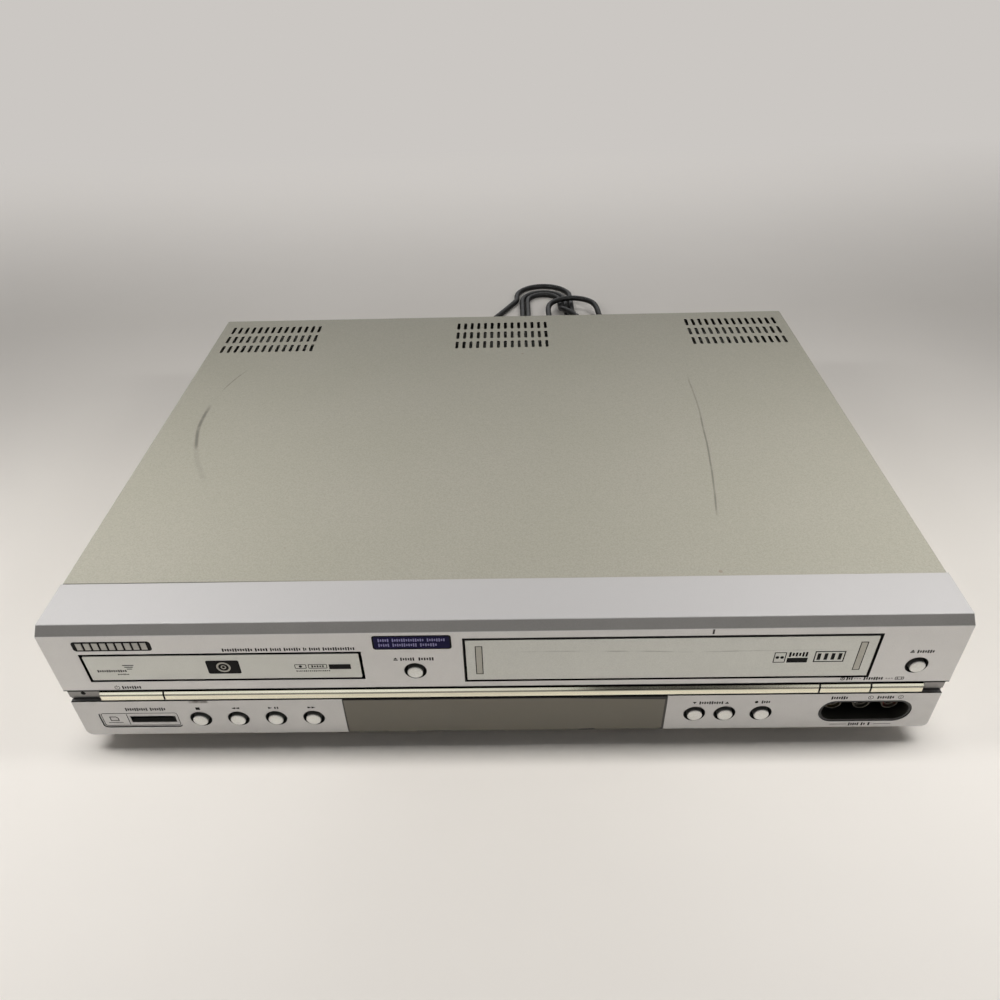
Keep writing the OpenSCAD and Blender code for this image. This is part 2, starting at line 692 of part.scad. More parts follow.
// ---- Display, card slot and front jacks ----
module display_window() color([0.38, 0.37, 0.33]) {
  block(window_x - window_w / 2, window_x + window_w / 2, -lower_proud, window_t - lower_proud,
    window_z0, window_z1);
}

module display_module() color([0.1, 0.12, 0.12]) {
  x0 = window_x - window_w / 2;
  x1 = window_x + window_w / 2;
  block(x0 + 17.7, x1 - 17.7, 4, board_face, chassis_z + 7, tz(channel_z + 1.6));
  block(x0 + 13.7, x1 - 13.7, 8, board_face, chassis_z + 4, tz(channel_z + 1.3));
}

card_face = -lower_proud + 0.5;
module card_slot() color([0.3, 0.3, 0.3]) {
  sx = card_x + slot_x;
  difference() {
    union() {
      plate_y(card_x, tz(card_z), card_w, card_h, 1.8, card_face, fascia_t);
      plate_y(card_x, tz(card_z), card_w + 2.4, card_h + 2.4, 2, fascia_t - lower_proud, fascia_t);
      block(sx - slot_w / 2 - 1, sx + slot_w / 2 + 1, fascia_t, slot_d + 1,
        tz(card_z) - slot_h / 2 - 1, tz(card_z) + slot_h / 2 + 1);
    }
    block(sx - slot_w / 2, sx + slot_w / 2, card_face - 1, slot_d, tz(card_z) - slot_h / 2,
      tz(card_z) + slot_h / 2);
  }
}

module jack_recess() color([0.16, 0.16, 0.17]) difference() {
  union() {
    plate_y(oval_x, tz(oval_z), oval_w, oval_h, oval_h / 2 - 0.05, -lower_proud + 0.3, oval_d);
    plate_y(oval_x, tz(oval_z), oval_w + 2.4, oval_h + 2.4, oval_h / 2 + 1.1, fascia_t - lower_proud,
      fascia_t);
  }
  plate_y(oval_x, tz(oval_z), oval_w - 2.4, oval_h - 2.4, oval_h / 2 - 1.3, -lower_proud - 1, oval_d - 1.5);
}

module front_jacks() color("gold") for (k = [-1 : 1]) {
  x = oval_x + k * front_jack_pitch;
  floor_d = oval_d - 1.5;
  difference() {
    rod_y(x, tz(oval_z), floor_d - jack_len, floor_d, jack_dia);
    rod_y(x, tz(oval_z), floor_d - jack_len - 1, floor_d - 1, jack_bore);
  }
  difference() {
    rod_y(x, tz(oval_z), floor_d - jack_len + 0.8, floor_d - 1, 5);
    rod_y(x, tz(oval_z), floor_d - jack_len - 1, floor_d - 2.5, 3.3);
  }
}

module control_board() color([0.15, 0.4, 0.2]) {
  top = tz(upper_h - 0.3);
  board_x = lower_w / 2 - 7.9;
  difference() {
    union() {
      block(-board_x, board_x, board_face, board_face + board_t, fascia_z0 + fascia_t, top);
      for (x = upper_btn_x)
        block(x - 8, x + 8, board_face, board_face + board_t, top, upper_btn_z + 7);
    }
    block(card_x + slot_x - slot_w / 2 - 1.4, card_x + slot_x + slot_w / 2 + 1.4, board_face - 1,
      board_face + 3, tz(card_z) - slot_h / 2 - 1.4, tz(card_z) + slot_h / 2 + 1.4);
    block(oval_x - oval_w / 2 - 1, board_x + 1, board_face - 1, board_face + 3,
      fascia_z0, tz(oval_z) + oval_h / 2 + 1);
  }
  for (x = upper_btn_x) tact_switch(x, upper_btn_z);
  for (x = lower_btn_x) tact_switch(x, lower_btn_z);
  for (x = [(power_x0 + power_x1) / 2, (select_x0 + select_x1) / 2, (select_x1 + select_x2) / 2])
    tact_switch(x, key_z, 20);
}

// A tactile switch; a wide one takes both stems of a key
module tact_switch(x, z, w = switch_w) {
  block(x - w / 2, x + w / 2, board_face - switch_h, board_face, z - switch_w / 2, z + switch_w / 2);
}

// ---- Electronics ----
module chip(x, d, w, l, h) {
  block(x - w / 2, x + w / 2, d, d + l, board_z + board_t, board_z + board_t + h);
}

module main_board() color([0.12, 0.42, 0.22]) {
  back = panel_d - 0.5;
  block(main_x[0], main_x[2], bay_d, back, board_z, board_z + board_t);
  block(main_x[0], main_x[1], board_d, bay_d, board_z, board_z + board_t);
  chip(main_x[0] + 69, board_d + 23, 28, 28, 2.6);
  chip(main_x[0] + 120, board_d + 28, 20, 26, 2.4);
  chip(main_x[1] - 22, board_d + 33, 16, 20, 2);
  chip(main_x[0] + 17, board_d + 18, 4, 30, 6);
  for (k = [0 : 5])
    post(main_x[0] + 30 + k * 20, bay_d + 0.2 * bay, board_z + board_t, board_z + board_t + 11, 8);
}

module power_board() color([0.55, 0.42, 0.2]) {
  top = board_z + board_t;
  block(power_x[0], power_x[1], bay_d, panel_d - 0.5, board_z, top);
  post(power_x[1] - 60, bay_d + 0.28 * bay, top, top + 30, 18);
  post(power_x[1] - 41, bay_d + 0.22 * bay, top, top + 22, 12);
  post(power_x[1] - 25, bay_d + 0.22 * bay, top, top + 22, 12);
  block(power_x[0] + 9, power_x[0] + 11, bay_d + 0.1 * bay, bay_d + 0.7 * bay, top, top + 34);
  block(power_x[1] - 12, power_x[1] - 8, bay_d + 0.3 * bay, bay_d + 0.6 * bay, top, top + 12);
}

module transformer() color([0.75, 0.6, 0.2]) {
  top = board_z + board_t;
  core_w = 30 * wide;
  core_x = power_x[0] + 38 * wide;
  block(core_x - core_w / 2, core_x + core_w / 2, bay_d + 0.19 * bay, bay_d + 0.65 * bay, top, top + 26);
  block(core_x - core_w / 2 - 3, core_x + core_w / 2 + 3, bay_d + 0.28 * bay, bay_d + 0.56 * bay,
    top + 4, top + 22);
}

// ---- Disc drive ----
tray_z1 = tz(tray_top);
tray_z0 = tray_z1 - tray_t;
loader_x = tray_w / 2 + 0.5;
loader_top = tray_z1 + 4.4;
loader_z0 = tray_z0 - 26;
loader_floor = 2;
leg_dia = 8;
loader_d = board_face + board_t + 1.4;
loader_end = 178;
loader_wall = 4;
rack_short = 10;
pivot_d = 166;
pivot_z = tray_z0 - 14;
pivot_dia = 4;
traverse_t = 2.5;
rod_z = pivot_z + 4.2;
rod_x0 = 24;
cone_top = tray_z1 + 0.8;
sled_len = 24;
sled_d = disc_d + 25;
pitch_mm = 2 * PI * gear_r / gear_teeth;
gear_x = disc_x + 47;
gear_d = 18;
rack_x = gear_x - gear_r;
rack_z0 = tray_z0 - 4;

module loader_frame() color([0.2, 0.2, 0.22]) {
  difference() {
    union() {
      for (s = [-1, 1]) {
        xa = s < 0 ? disc_x - loader_x - loader_t : disc_x + loader_x;
        block(xa, xa + loader_t, loader_d, loader_end, loader_z0, loader_top);
        // Ledge below the tray's edge and lip above it
        xl = s < 0 ? disc_x - loader_x : disc_x + loader_x - 3;
        block(xl, xl + 3, loader_d, loader_end - loader_wall, tray_z0 - gap - 2, tray_z0 - gap);
        block(xl, xl + 3, loader_d, loader_end - loader_wall, tray_z1 + gap, tray_z1 + gap + 2);
      }
      block(disc_x - loader_x, disc_x + loader_x, loader_d, loader_end, loader_z0, loader_z0 + loader_floor);
      block(disc_x - loader_x, disc_x + loader_x, loader_end - loader_wall, loader_end, loader_z0, tray_z1);
      block(disc_x - loader_x, disc_x + loader_x, loader_d, loader_d + 2, loader_z0, rack_z0 - 6);
      for (s = [-1, 1]) {
        xa = s < 0 ? disc_x - loader_x - eps : disc_x + 49;
        block(xa, xa + loader_x - 49 + eps, pivot_d - 4, pivot_d + 4, loader_z0, pivot_z + 5);
        for (d = [band_d + 9, 168])
          post(disc_x + s * (loader_x - 2), d, chassis_z, loader_z0, leg_dia);
      }
      post(gear_x, gear_d, loader_z0, rack_z0 - 0.4, leg_dia);
      post(gear_x, gear_d, rack_z0 - 0.4, tray_z0 - 0.5, 4);
    }
    block(disc_x - 55, disc_x + 55, 27, 160, loader_z0 - eps, loader_z0 + loader_floor + eps);
    rod_x(pivot_d, pivot_z, disc_x - loader_x + 4, disc_x + loader_x - 4, pivot_dia + 2 * run_fit);
  }
}

bridge_t = 1.5;
bridge_hole = 26;
module clamper_bridge() color("silver") difference() {
  union() {
    block(disc_x - loader_x - loader_t, disc_x + loader_x + loader_t, disc_d - 20, disc_d + 20,
      loader_top, loader_top + bridge_t);
    for (s = [-1, 1])
      block(disc_x - loader_x - loader_t, disc_x + loader_x + loader_t, disc_d + s * 19 - 1,
        disc_d + s * 19 + 1, loader_top + bridge_t, loader_top + bridge_t + 2);
  }
  post(disc_x, disc_d, loader_top - eps, loader_top + bridge_t + eps, bridge_hole);
}

module disc_clamper() color([0.85, 0.85, 0.82]) {
  post(disc_x, disc_d, cone_top + 0.6, loader_top + bridge_t + gap, bridge_hole - 2);
  post(disc_x, disc_d, loader_top + bridge_t + gap, loader_top + bridge_t + gap + 1.6, bridge_hole + 6);
}

module disc_tray() color([0.23, 0.23, 0.25]) difference() {
  union() {
    block(disc_x - tray_w / 2, disc_x + tray_w / 2, tray_door_t, tray_end, tray_z0, tray_z1);
    block(rack_x - 4, rack_x - 1.3, tray_door_t + 2, tray_end - rack_short, rack_z0, tray_z0);
    rack_teeth();
  }
  post(disc_x, disc_d, tray_z1 - recess_step, tray_z1 + eps, disc_recess);
  post(disc_x, disc_d, tray_z1 - 2 * recess_step, tray_z1 + eps, small_recess);
  post(disc_x, disc_d, tray_z0 - eps, tray_z1 + eps, tray_slot);
  block(disc_x - tray_slot / 2, disc_x + tray_slot / 2, disc_d, tray_end + 1, tray_z0 - eps, tray_z1 + eps);
}

// Teeth of the tray's rack, which face the gear
module rack_teeth() {
  n0 = ceil((tray_door_t + 4 - gear_d) / pitch_mm);
  n1 = floor((tray_end - rack_short - 2 - gear_d) / pitch_mm);
  for (k = [n0 : n1]) translate([rack_x, fy(gear_d + k * pitch_mm), rack_z0])
    linear_extrude(tray_z0 - rack_z0)
      polygon([[-1.4, -1.25], [-1.4, 1.25], [1.2, 0.45], [1.2, -0.45]]);
}

module tray_gear() color("white") {
  root = gear_r - 1.7;
  difference() {
    union() {
      post(gear_x, gear_d, rack_z0 - 0.1, tray_z0 - 0.5, 2 * root);
      for (k = [0 : gear_teeth - 1])
        translate([gear_x, fy(gear_d), rack_z0 - 0.1]) rotate([0, 0, (k + 0.5) * 360 / gear_teeth])
          linear_extrude(tray_z0 - rack_z0 - 0.4)
            polygon([[root - 0.5, -1.3], [root - 0.5, 1.3], [gear_r + 1.1, 0.45], [gear_r + 1.1, -0.45]]);
    }
    post(gear_x, gear_d, rack_z0 - 1, tray_z0, 4 + 2 * run_fit);
  }
}

module tray_door() color([0.72, 0.71, 0.69]) {
  plate_y(disc_x, tz(tray_door_z), tray_door_w, tray_door_h, 0.6, 0, tray_door_t);
}

module traverse_frame() color([0.35, 0.36, 0.38]) {
  z1 = pivot_z + 0.5;
  difference() {
    block(disc_x - 46, disc_x + 46, 30, 160, z1 - traverse_t, z1);
    block(disc_x - 34, disc_x + 38, disc_d + 13, 149, z1 - traverse_t - eps, z1 + eps);
  }
  for (s = [-1, 1]) {
    xa = s < 0 ? disc_x - 46 : disc_x + 42;
    block(xa, xa + 4, 156, pivot_d + 4, z1 - traverse_t, z1 + 3);
    rod_x(pivot_d, pivot_z, s < 0 ? disc_x - 54 : disc_x + 46, s < 0 ? disc_x - 46 : disc_x + 54, pivot_dia);
    for (d = [disc_d + 9, 152])
      block(disc_x + s * rod_x0 - 3, disc_x + s * rod_x0 + 3, d, d + 4, z1, rod_z + 3);
  }
  post(disc_x, disc_d, z1, z1 + 4, 16);
  post(disc_x, disc_d, z1 + 4, z1 + 8, 2.9);
  for (d = [disc_d + 5, 152]) difference() {
    block(lead_x - 4, lead_x + 4, d, d + 4, z1, rod_z + 3);
    rod_y(lead_x, rod_z, d - 1, d + 5, lead_dia + 2 * run_fit);
  }
}

module guide_rods() color("lightgray") for (s = [-1, 1])
  rod_y(disc_x + s * rod_x0, rod_z, disc_d + 13, 152, rod_dia);

lead_dia = 3;
lead_x = disc_x + 34;
module lead_screw() color("lightgray") difference() {
  rod_y(lead_x, rod_z, disc_d + 4, 157, lead_dia);
  for (d = [disc_d + 14 : 3 : 146]) translate([lead_x, fy(d), rod_z]) rotate([-90, 0, 0])
    rotate_extrude() polygon([[lead_dia / 2 - 0.4, 0.6], [lead_dia, -0.6], [lead_dia, 1.8]]);
}

module pickup_sled() color([0.15, 0.15, 0.16]) {
  d0 = sled_d - sled_len / 2;
  z0 = rod_z - 2.5;
  difference() {
    union() {
      block(disc_x - 29, disc_x + 29, d0, d0 + sled_len, z0, z0 + 6);
      block(disc_x + 29, disc_x + 34 - lead_dia / 2 - 0.4, sled_d - 3, sled_d + 3, z0 + 1, z0 + 4);
      post(disc_x, sled_d, z0 + 6, z0 + 9, 18);
      post(disc_x, sled_d, z0 + 9, z0 + 10.5, 8);
    }
    for (s = [-1, 1])
      rod_y(disc_x + s * rod_x0, rod_z, d0 - 1, d0 + sled_len + 1, rod_dia + 2 * run_fit);
  }
}

module turntable() color([0.2, 0.2, 0.2]) difference() {
  z0 = pivot_z + 4.8;
  union() {
    post(disc_x, disc_d, z0, tray_z1 - 6, 22);
    post(disc_x, disc_d, tray_z1 - 6, tray_z1 - 1.2, turntable_dia);
    translate([disc_x, fy(disc_d), tray_z1 - 1.2])
      cylinder(h = cone_top - tray_z1 + 1.2, d1 = cone_dia, d2 = cone_dia - 3);
  }
  post(disc_x, disc_d, z0 - 1, z0 + 4.2, 3);
}

// ---- Cassette drive ----
deck_z0 = chassis_z + deck_lift;
deck_z1 = deck_z0 + deck_t;
holder_w = cassette_w + 1 + 2 * sheet_t;
holder_z0 = tz(cas_door_z) - (cassette_h + 0.6) / 2 - sheet_t;
holder_z1 = holder_z0 + cassette_h + 0.6 + 2 * sheet_t;
holder_y = hinge_d + cas_door_h + 1;
slider_x = holder_w / 2 + 0.5;
slider_t = 1.2;
wall_x = slider_x + slider_t + 0.6;
wall_t = 1.2;
lug_dia = 3;
lug_z = holder_z0 + 8.2;
lug_d = [holder_y + 12, holder_y + 79];
slider_lug_z = holder_z1 - 7;
slider_lug_d = [holder_y + 18, holder_y + 73];
deck_d0 = holder_y + 3.5;
deck_d1 = bay_d - 8;
reel_d = 122;
guide_d = 172;
guide_x = 40;
capstan_off = 69;
capstan_x = cas_x + capstan_off;
capstan_d = 190;
pinch_x = capstan_x + 18;
pinch_d = 206;
arm_len = 16.5;
pin_dia = 4;

module deck_plate() color("silver") difference() {
  union() {
    block(cas_x - wall_x - wall_t, cas_x + wall_x + wall_t, deck_d0, deck_d1, deck_z0, deck_z1);
    for (s = [-1, 1]) {
      xa = s < 0 ? cas_x - wall_x - wall_t : cas_x + wall_x;
      block(xa, xa + wall_t, deck_d0, capstan_d + 10, deck_z1, holder_z1 + 4);
      for (d = [deck_d0 + 8, deck_d1 - 8]) post(cas_x + s * (wall_x - 6), d, chassis_z, deck_z0, leg_dia);
      post(cas_x + s * reel_pitch / 2, reel_d, deck_z1, deck_z1 + 18, pin_dia);
    }
    post(capstan_x, capstan_d, deck_z1, deck_z1 + 6, 10);
    post(pinch_x, pinch_d, deck_z1, deck_z1 + 14, pin_dia);
  }
  for (s = [-1, 1]) {
    xa = s < 0 ? cas_x - wall_x - wall_t - 1 : cas_x + wall_x - 1;
    for (d = lug_d)
      block(xa, xa + wall_t + 2, d - 2, d + holder_in + 2, lug_z - holder_drop - 2, lug_z + 2);
    block(xa, xa + wall_t + 2, slider_lug_d[0] - 2, slider_lug_d[1] + holder_in + 2,
      slider_lug_z - lug_dia / 2 - 0.2, slider_lug_z + lug_dia / 2 + 0.2);
    block(cas_x + s * guide_x - 3, cas_x + s * guide_x + 3, guide_d - 4, guide_d + guide_travel + 4,
      deck_z0 - eps, deck_z1 + eps);
  }
  post(capstan_x, capstan_d, deck_z0 - 1, deck_z1 + 7, capstan_dia + 2 * run_fit);
  block(cas_x - 30, cas_x + 30, 70, 105, deck_z0 - eps, deck_z1 + eps);
}

module drum_base() color("lightgray") {
  post(cas_x, drum_d, deck_z1, deck_z1 + 3, drum_dia - 8);
  post(cas_x, drum_d, deck_z1 + 3, deck_z1 + 18, drum_dia);
  post(cas_x, drum_d, deck_z1 + 18, deck_z1 + 35, 6);
}

module head_drum_rotor() color([0.8, 0.8, 0.82]) difference() {
  z0 = deck_z1 + 18.4;
  union() {
    post(cas_x, drum_d, z0, z0 + 15, drum_dia);
    post(cas_x, drum_d, z0 + 15, z0 + 17, 26);
  }
  post(cas_x, drum_d, z0 - 1, z0 + 18, 6 + 2 * run_fit);
  translate([cas_x, fy(drum_d), z0 + 12]) rotate_extrude()
    translate([17, 0]) square([9, 4]);
}

module tape_heads() color([0.75, 0.72, 0.6]) {
  // Full-erase head
  post(cas_x - 58, 186, deck_z1, deck_z1 + 11, 6);
  block(cas_x - 65, cas_x - 51, 181, 191, deck_z1 + 11, deck_z1 + 27);
  // Audio and control head
  post(cas_x + 54, 200, deck_z1, deck_z1 + 11, 6);
  block(cas_x + 49, cas_x + 59, 195, 205, deck_z1 + 11, deck_z1 + 29);
  // Fixed guide posts
  for (p = [[cas_x - 54, 202], [cas_x + 61, 177]]) {
    post(p[0], p[1], deck_z1, deck_z1 + 25, 4);
    post(p[0], p[1], deck_z1 + 10, deck_z1 + 11, 7);
    post(p[0], p[1], deck_z1 + 25, deck_z1 + 26.5, 7);
  }
}

module capstan() color("lightgray") {
  post(capstan_x, capstan_d, chassis_z + 1, deck_z1 + 26, capstan_dia);
  post(capstan_x, capstan_d, chassis_z + 3, chassis_z + 10, 44);
}

module pinch_arm() color([0.6, 0.6, 0.62]) difference() {
  z0 = deck_z1 + 7;
  x1 = pinch_x - arm_len;
  union() {
    post(pinch_x, pinch_d, deck_z1 + 0.2, z0 + 3, 9);
    post(x1, pinch_d, z0, z0 + 2, 7);
    block(x1, pinch_x, pinch_d - 3, pinch_d + 3, z0, z0 + 2);
    post(x1, pinch_d, z0 + 2, z0 + 19, 3);
  }
  post(pinch_x, pinch_d, deck_z1, z0 + 5, pin_dia + 2 * run_fit);
}

module pinch_roller() color([0.1, 0.1, 0.1]) difference() {
  z0 = deck_z1 + 9.4;
  post(pinch_x - arm_len, pinch_d, z0, z0 + 14, pinch_dia);
  post(pinch_x - arm_len, pinch_d, z0 - 1, z0 + 15, 3 + 2 * run_fit);
}

module reel(s) {
  x = cas_x + s * reel_pitch / 2;
  z0 = deck_z1 + 0.8;
  difference() {
    union() {
      post(x, reel_d, z0, z0 + 4, reel_dia);
      post(x, reel_d, z0 + 4, z0 + 5, 16);
      post(x, reel_d, z0 + 5, z0 + 20, 8);
      for (a = [0, 120, 240]) translate([x, fy(reel_d), z0 + 5]) rotate([0, 0, a])
        translate([0, -0.8, 0]) cube([6.5, 1.6, 13]);
    }
    post(x, reel_d, z0 - 1, z0 + 17.6, pin_dia + 2 * run_fit);
  }
}

module supply_reel() color([0.25, 0.25, 0.27]) reel(-1);
module take_up_reel() color([0.25, 0.25, 0.27]) reel(1);

// A tape guide on a shuttle that runs in a slot of the deck plate
module tape_guide(s) {
  x = cas_x + s * guide_x;
  block(x - 6, x + 6, guide_d - 7, guide_d + 7, deck_z1 + gap, deck_z1 + 4.3);
  post(x, guide_d, deck_z0 - 2.7, deck_z1 + gap, 5);
  post(x, guide_d, deck_z0 - 2.7, deck_z0 - gap, 10);
  post(x, guide_d, deck_z1 + 4.3, deck_z1 + 10, 4);
  post(x, guide_d, deck_z1 + 10, deck_z1 + 26, 7);
  post(x, guide_d, deck_z1 + 26, deck_z1 + 28, 9);
}

module supply_guide() color("goldenrod") tape_guide(-1);
module take_up_guide() color("goldenrod") tape_guide(1);

module carriage_slider() color([0.7, 0.71, 0.73]) {
  top = holder_z1 + 2.4;
  for (s = [-1, 1]) {
    xa = s < 0 ? cas_x - slider_x - slider_t : cas_x + slider_x;
    difference() {
      block(xa, xa + slider_t, holder_y + 4, holder_y + holder_d - 8, lug_z - holder_drop - 4, top);
      for (d = lug_d)
        block(xa - 1, xa + slider_t + 1, d - lug_dia / 2 - gap, d + lug_dia / 2 + gap,
          lug_z - holder_drop - lug_dia / 2 - 0.4, lug_z + lug_dia / 2 + 0.4);
    }
    for (d = slider_lug_d)
      rod_x(d, slider_lug_z, s < 0 ? xa - 2.4 : xa + slider_t, s < 0 ? xa : xa + slider_t + 2.4, lug_dia);
  }
  block(cas_x - slider_x - slider_t, cas_x + slider_x + slider_t, holder_y + 38, holder_y + 58,
    top - 1.2, top);
}

module cassette_holder() color([0.62, 0.63, 0.65]) {
  d1 = holder_y + holder_d;
  xo = holder_w / 2;
  difference() {
    block(cas_x - xo, cas_x + xo, holder_y, d1, holder_z0, holder_z1);
    block(cas_x - xo + sheet_t, cas_x + xo - sheet_t, holder_y - 1, d1 + 1, holder_z0 + sheet_t,
      holder_z1 - sheet_t);
    block(cas_x - xo + 15, cas_x + xo - 15, holder_y - 1, d1 + 1, holder_z0 - 1, holder_z0 + sheet_t + eps);
    for (s = [-1, 1]) block(cas_x + s * 45 - 25, cas_x + s * 45 + 25, holder_y + 20, d1 - 24,
      holder_z1 - sheet_t - eps, holder_z1 + 1);
  }
  for (s = [-1, 1], d = lug_d)
    rod_x(d, lug_z, s < 0 ? cas_x - xo - 4.4 : cas_x + xo, s < 0 ? cas_x - xo : cas_x + xo + 4.4, lug_dia);
}

module cassette_door() color([0.7, 0.69, 0.67]) {
  z0 = tz(cas_door_z) - cas_door_h / 2;
  z1 = z0 + cas_door_h;
  xo = cas_door_w / 2;
  difference() {
    block(cas_x - xo, cas_x + xo, 0.2, 0.2 + cas_door_t, z0, z1);
    for (x = [cas_x - 89.2, cas_x + 89.2])
      plate_y(x, tz(cas_door_z), 3, 18.9, 0.4, -1, 0.8);
  }
  for (s = [-1, 1]) {
    xa = s < 0 ? cas_x - xo : cas_x + xo - 3;
    hull() {
      rod_x(hinge_d, hinge_z, xa, xa + 3, 4.4);
      block(xa, xa + 3, 1, 1.4, hinge_z - 7, hinge_z + 1);
    }
    rod_x(hinge_d, hinge_z, s < 0 ? xa - cas_gap - pin_len + gap : xa + 3,
      s < 0 ? xa : xa + 3 + cas_gap + pin_len - gap, hinge_pin);
  }
}

// ---- Power cord ----
cord_r = cord_dia / 2;
bush_end = fy(panel_out + 2.5 + sleeve_len);
// Routes are measured from the end of the cord's sleeve, and from the surface up.
// Route of the cord from its sleeve to the hank, with a free loop across the hank
run_points = [[0, 0, outlet_z], [0, 17.8, 31], [-1, 35.8, 20], [-4, 53.8, 9.5],
  [-11, 70.8, 4.2], [-22, 85.8, 2.9], [-34, 99.8, 2.8], [-44, 113.8, 3.2], [-51, 128.8, 5],
  [-55, 142.8, 7.4], [-56.5, 156.8, 8.9], [-59.8, 169.1, 9.4], [-68.7, 178, 9.4], [-81, 181.3, 9.4],
  [-93.2, 178, 9.4], [-102.2, 169.1, 9.4], [-105.5, 156.8, 9.4], [-105.5, 141.8, 9.4],
  [-105.5, 126.8, 9.4], [-105.5, 111.8, 9.4], [-105.5, 96.8, 9.4], [-105.5, 81.8, 9.3],
  [-102.4, 69.6, 7.6], [-93.5, 60.6, 5], [-81.5, 57.3, 3.3], [-69.5, 60.6, 2.8], [-60.7, 69.6, 2.8],
  [-58, 81.8, 2.8], [-59, 94.8, 2.8], [-62, 107.8, 2.8], [-67.5, 120.8, 2.8], [-73.5, 131.8, 2.8],
  [-79.5, 142.8, 2.9]];
// Route of the cord from the hank to the plug
tail_points = [[-137.5, 191.8, 2.9], [-146, 174.8, 2.8], [-155, 157.8, 2.8], [-165, 139.8, 2.8],
  [-174, 120.8, 2.8], [-180, 100.8, 2.8], [-184, 79.8, 2.8], [-191, 59.8, 2.8], [-204, 43.8, 2.8],
  [-223, 36.8, 2.8], [-243, 41.8, 2.8], [-257, 55.8, 2.8], [-264, 70.8, 2.8], [-267.5, 85.8, 2.8],
  [-272, 98.8, 2.8], [-280, 108.3, 2.8], [-293, 112.8, 2.9], [-306, 108.8, 3.4], [-316, 98.3, 4.6],
  [-320.5, 83.8, 6.6], [-321, 63.8, 8]];
hank_c = [-109, 152.8];
plug_at = [-321, 63.8];
ring_sides = 10;
ring_steps = 2;

function unit(v) = v / norm(v);
// Point on a smooth curve through the points p, at step j of n after point i
function smooth(p, i, t) = let (a = p[max(i - 1, 0)], b = p[i], c = p[min(i + 1, len(p) - 1)],
  d = p[min(i + 2, len(p) - 1)])
  0.5 * (2 * b + (c - a) * t + (2 * a - 5 * b + 4 * c - d) * t * t + (3 * b - a - 3 * c + d) * t * t * t);
function route(p) = concat([for (i = [0 : len(p) - 2], j = [0 : ring_steps - 1])
  smooth(p, i, j / ring_steps)], [p[len(p) - 1]]);
function along(q, i) = unit(q[min(i + 1, len(q) - 1)] - q[max(i - 1, 0)]);

module tube(points, r) {
  q = route(points);
  n = ring_sides;
  rings = [for (i = [0 : len(q) - 1])
    let (t = along(q, i), side = unit(cross(t, [0, 0, 1])), up = cross(side, t))
    for (k = [0 : n - 1]) q[i] + r * (cos(k * 360 / n) * side + sin(k * 360 / n) * up)];
  walls = [for (i = [0 : len(q) - 2], k = [0 : n - 1], f = [0, 1])
    let (a = i * n + k, b = i * n + (k + 1) % n)
    f == 0 ? [a, b, a + n] : [b, b + n, a + n]];
  polyhedron(points = rings, faces = concat(walls, [[for (k = [n - 1 : -1 : 0]) k]],
    [[for (k = [0 : n - 1]) (len(q) - 1) * n + k]]));
}

module power_cord_run() color([0.06, 0.06, 0.06]) translate([cord_x, bush_end, 0]) {
  tube(run_points, cord_r);
  tube(tail_points, cord_r);
}

module stadium(w, l) {
  square([w, l - w], center = true);
  for (s = [-1, 1]) translate([0, s * (l - w) / 2]) circle(d = w);
}

module power_cord_hank() color([0.08, 0.08, 0.08]) translate([cord_x + hank_c[0], bush_end + hank_c[1], 0])
  linear_extrude(cord_dia + 0.2) difference() {
    stadium(hank_w, hank_len);
    translate([0, -6]) stadium(hank_w - 25, hank_len - 38);
  }

module power_plug() color([0.07, 0.07, 0.07])
translate([cord_x + plug_at[0], bush_end + plug_at[1], plug_h / 2]) {
  rotate([90, 0, 0]) cylinder(h = 18, d1 = cord_dia + 2, d2 = 11);
  translate([0, -18 - plug_len / 2, 0]) rotate([90, 0, 0]) linear_extrude(plug_len, center = true) {
    square([plug_w - 8, plug_h], center = true);
    square([plug_w, plug_h - 8], center = true);
    for (sx = [-1, 1], sz = [-1, 1]) translate([sx * (plug_w / 2 - 4), sz * (plug_h / 2 - 4)]) circle(4);
  }
  for (s = [-1, 1]) translate([s * 6.35 - 0.75, -18 - plug_len - 17, -3.2]) cube([1.5, 17, 6.4]);
}

bottom_chassis();
rear_panel();
top_cover();
cover_screws();
feet();
front_fascia();
trim_strip();
display_window();
display_module();
card_slot();
jack_recess();
front_jacks();
control_board();
main_board();
power_board();
transformer();
tuner_module();
rear_jack_block();
rear_jacks();
cord_bush();
power_button();
dvd_select_button();
vcr_select_button();
open_close_button();
eject_button();
stop_button();
rewind_button();
play_pause_button();
fast_forward_button();
channel_down_button();
channel_up_button();
record_button();
loader_frame();
clamper_bridge();
disc_clamper();
disc_tray();
tray_door();
tray_gear();
traverse_frame();
guide_rods();
pickup_sled();
lead_screw();
turntable();
deck_plate();
drum_base();
head_drum_rotor();
tape_heads();
capstan();
pinch_arm();
pinch_roller();
supply_reel();
take_up_reel();
supply_guide();
take_up_guide();
carriage_slider();
cassette_holder();
cassette_door();
power_cord_run();
power_cord_hank();
power_plug();
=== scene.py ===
"""Finishes, printed marks, power cord and studio for a combined disc and tape player.

Lengths are in metres in the part's own frame: X to the right, Y to the back, Z up.
Places on the front are given in millimetres: x from the middle, drop from the top.
"""
import math

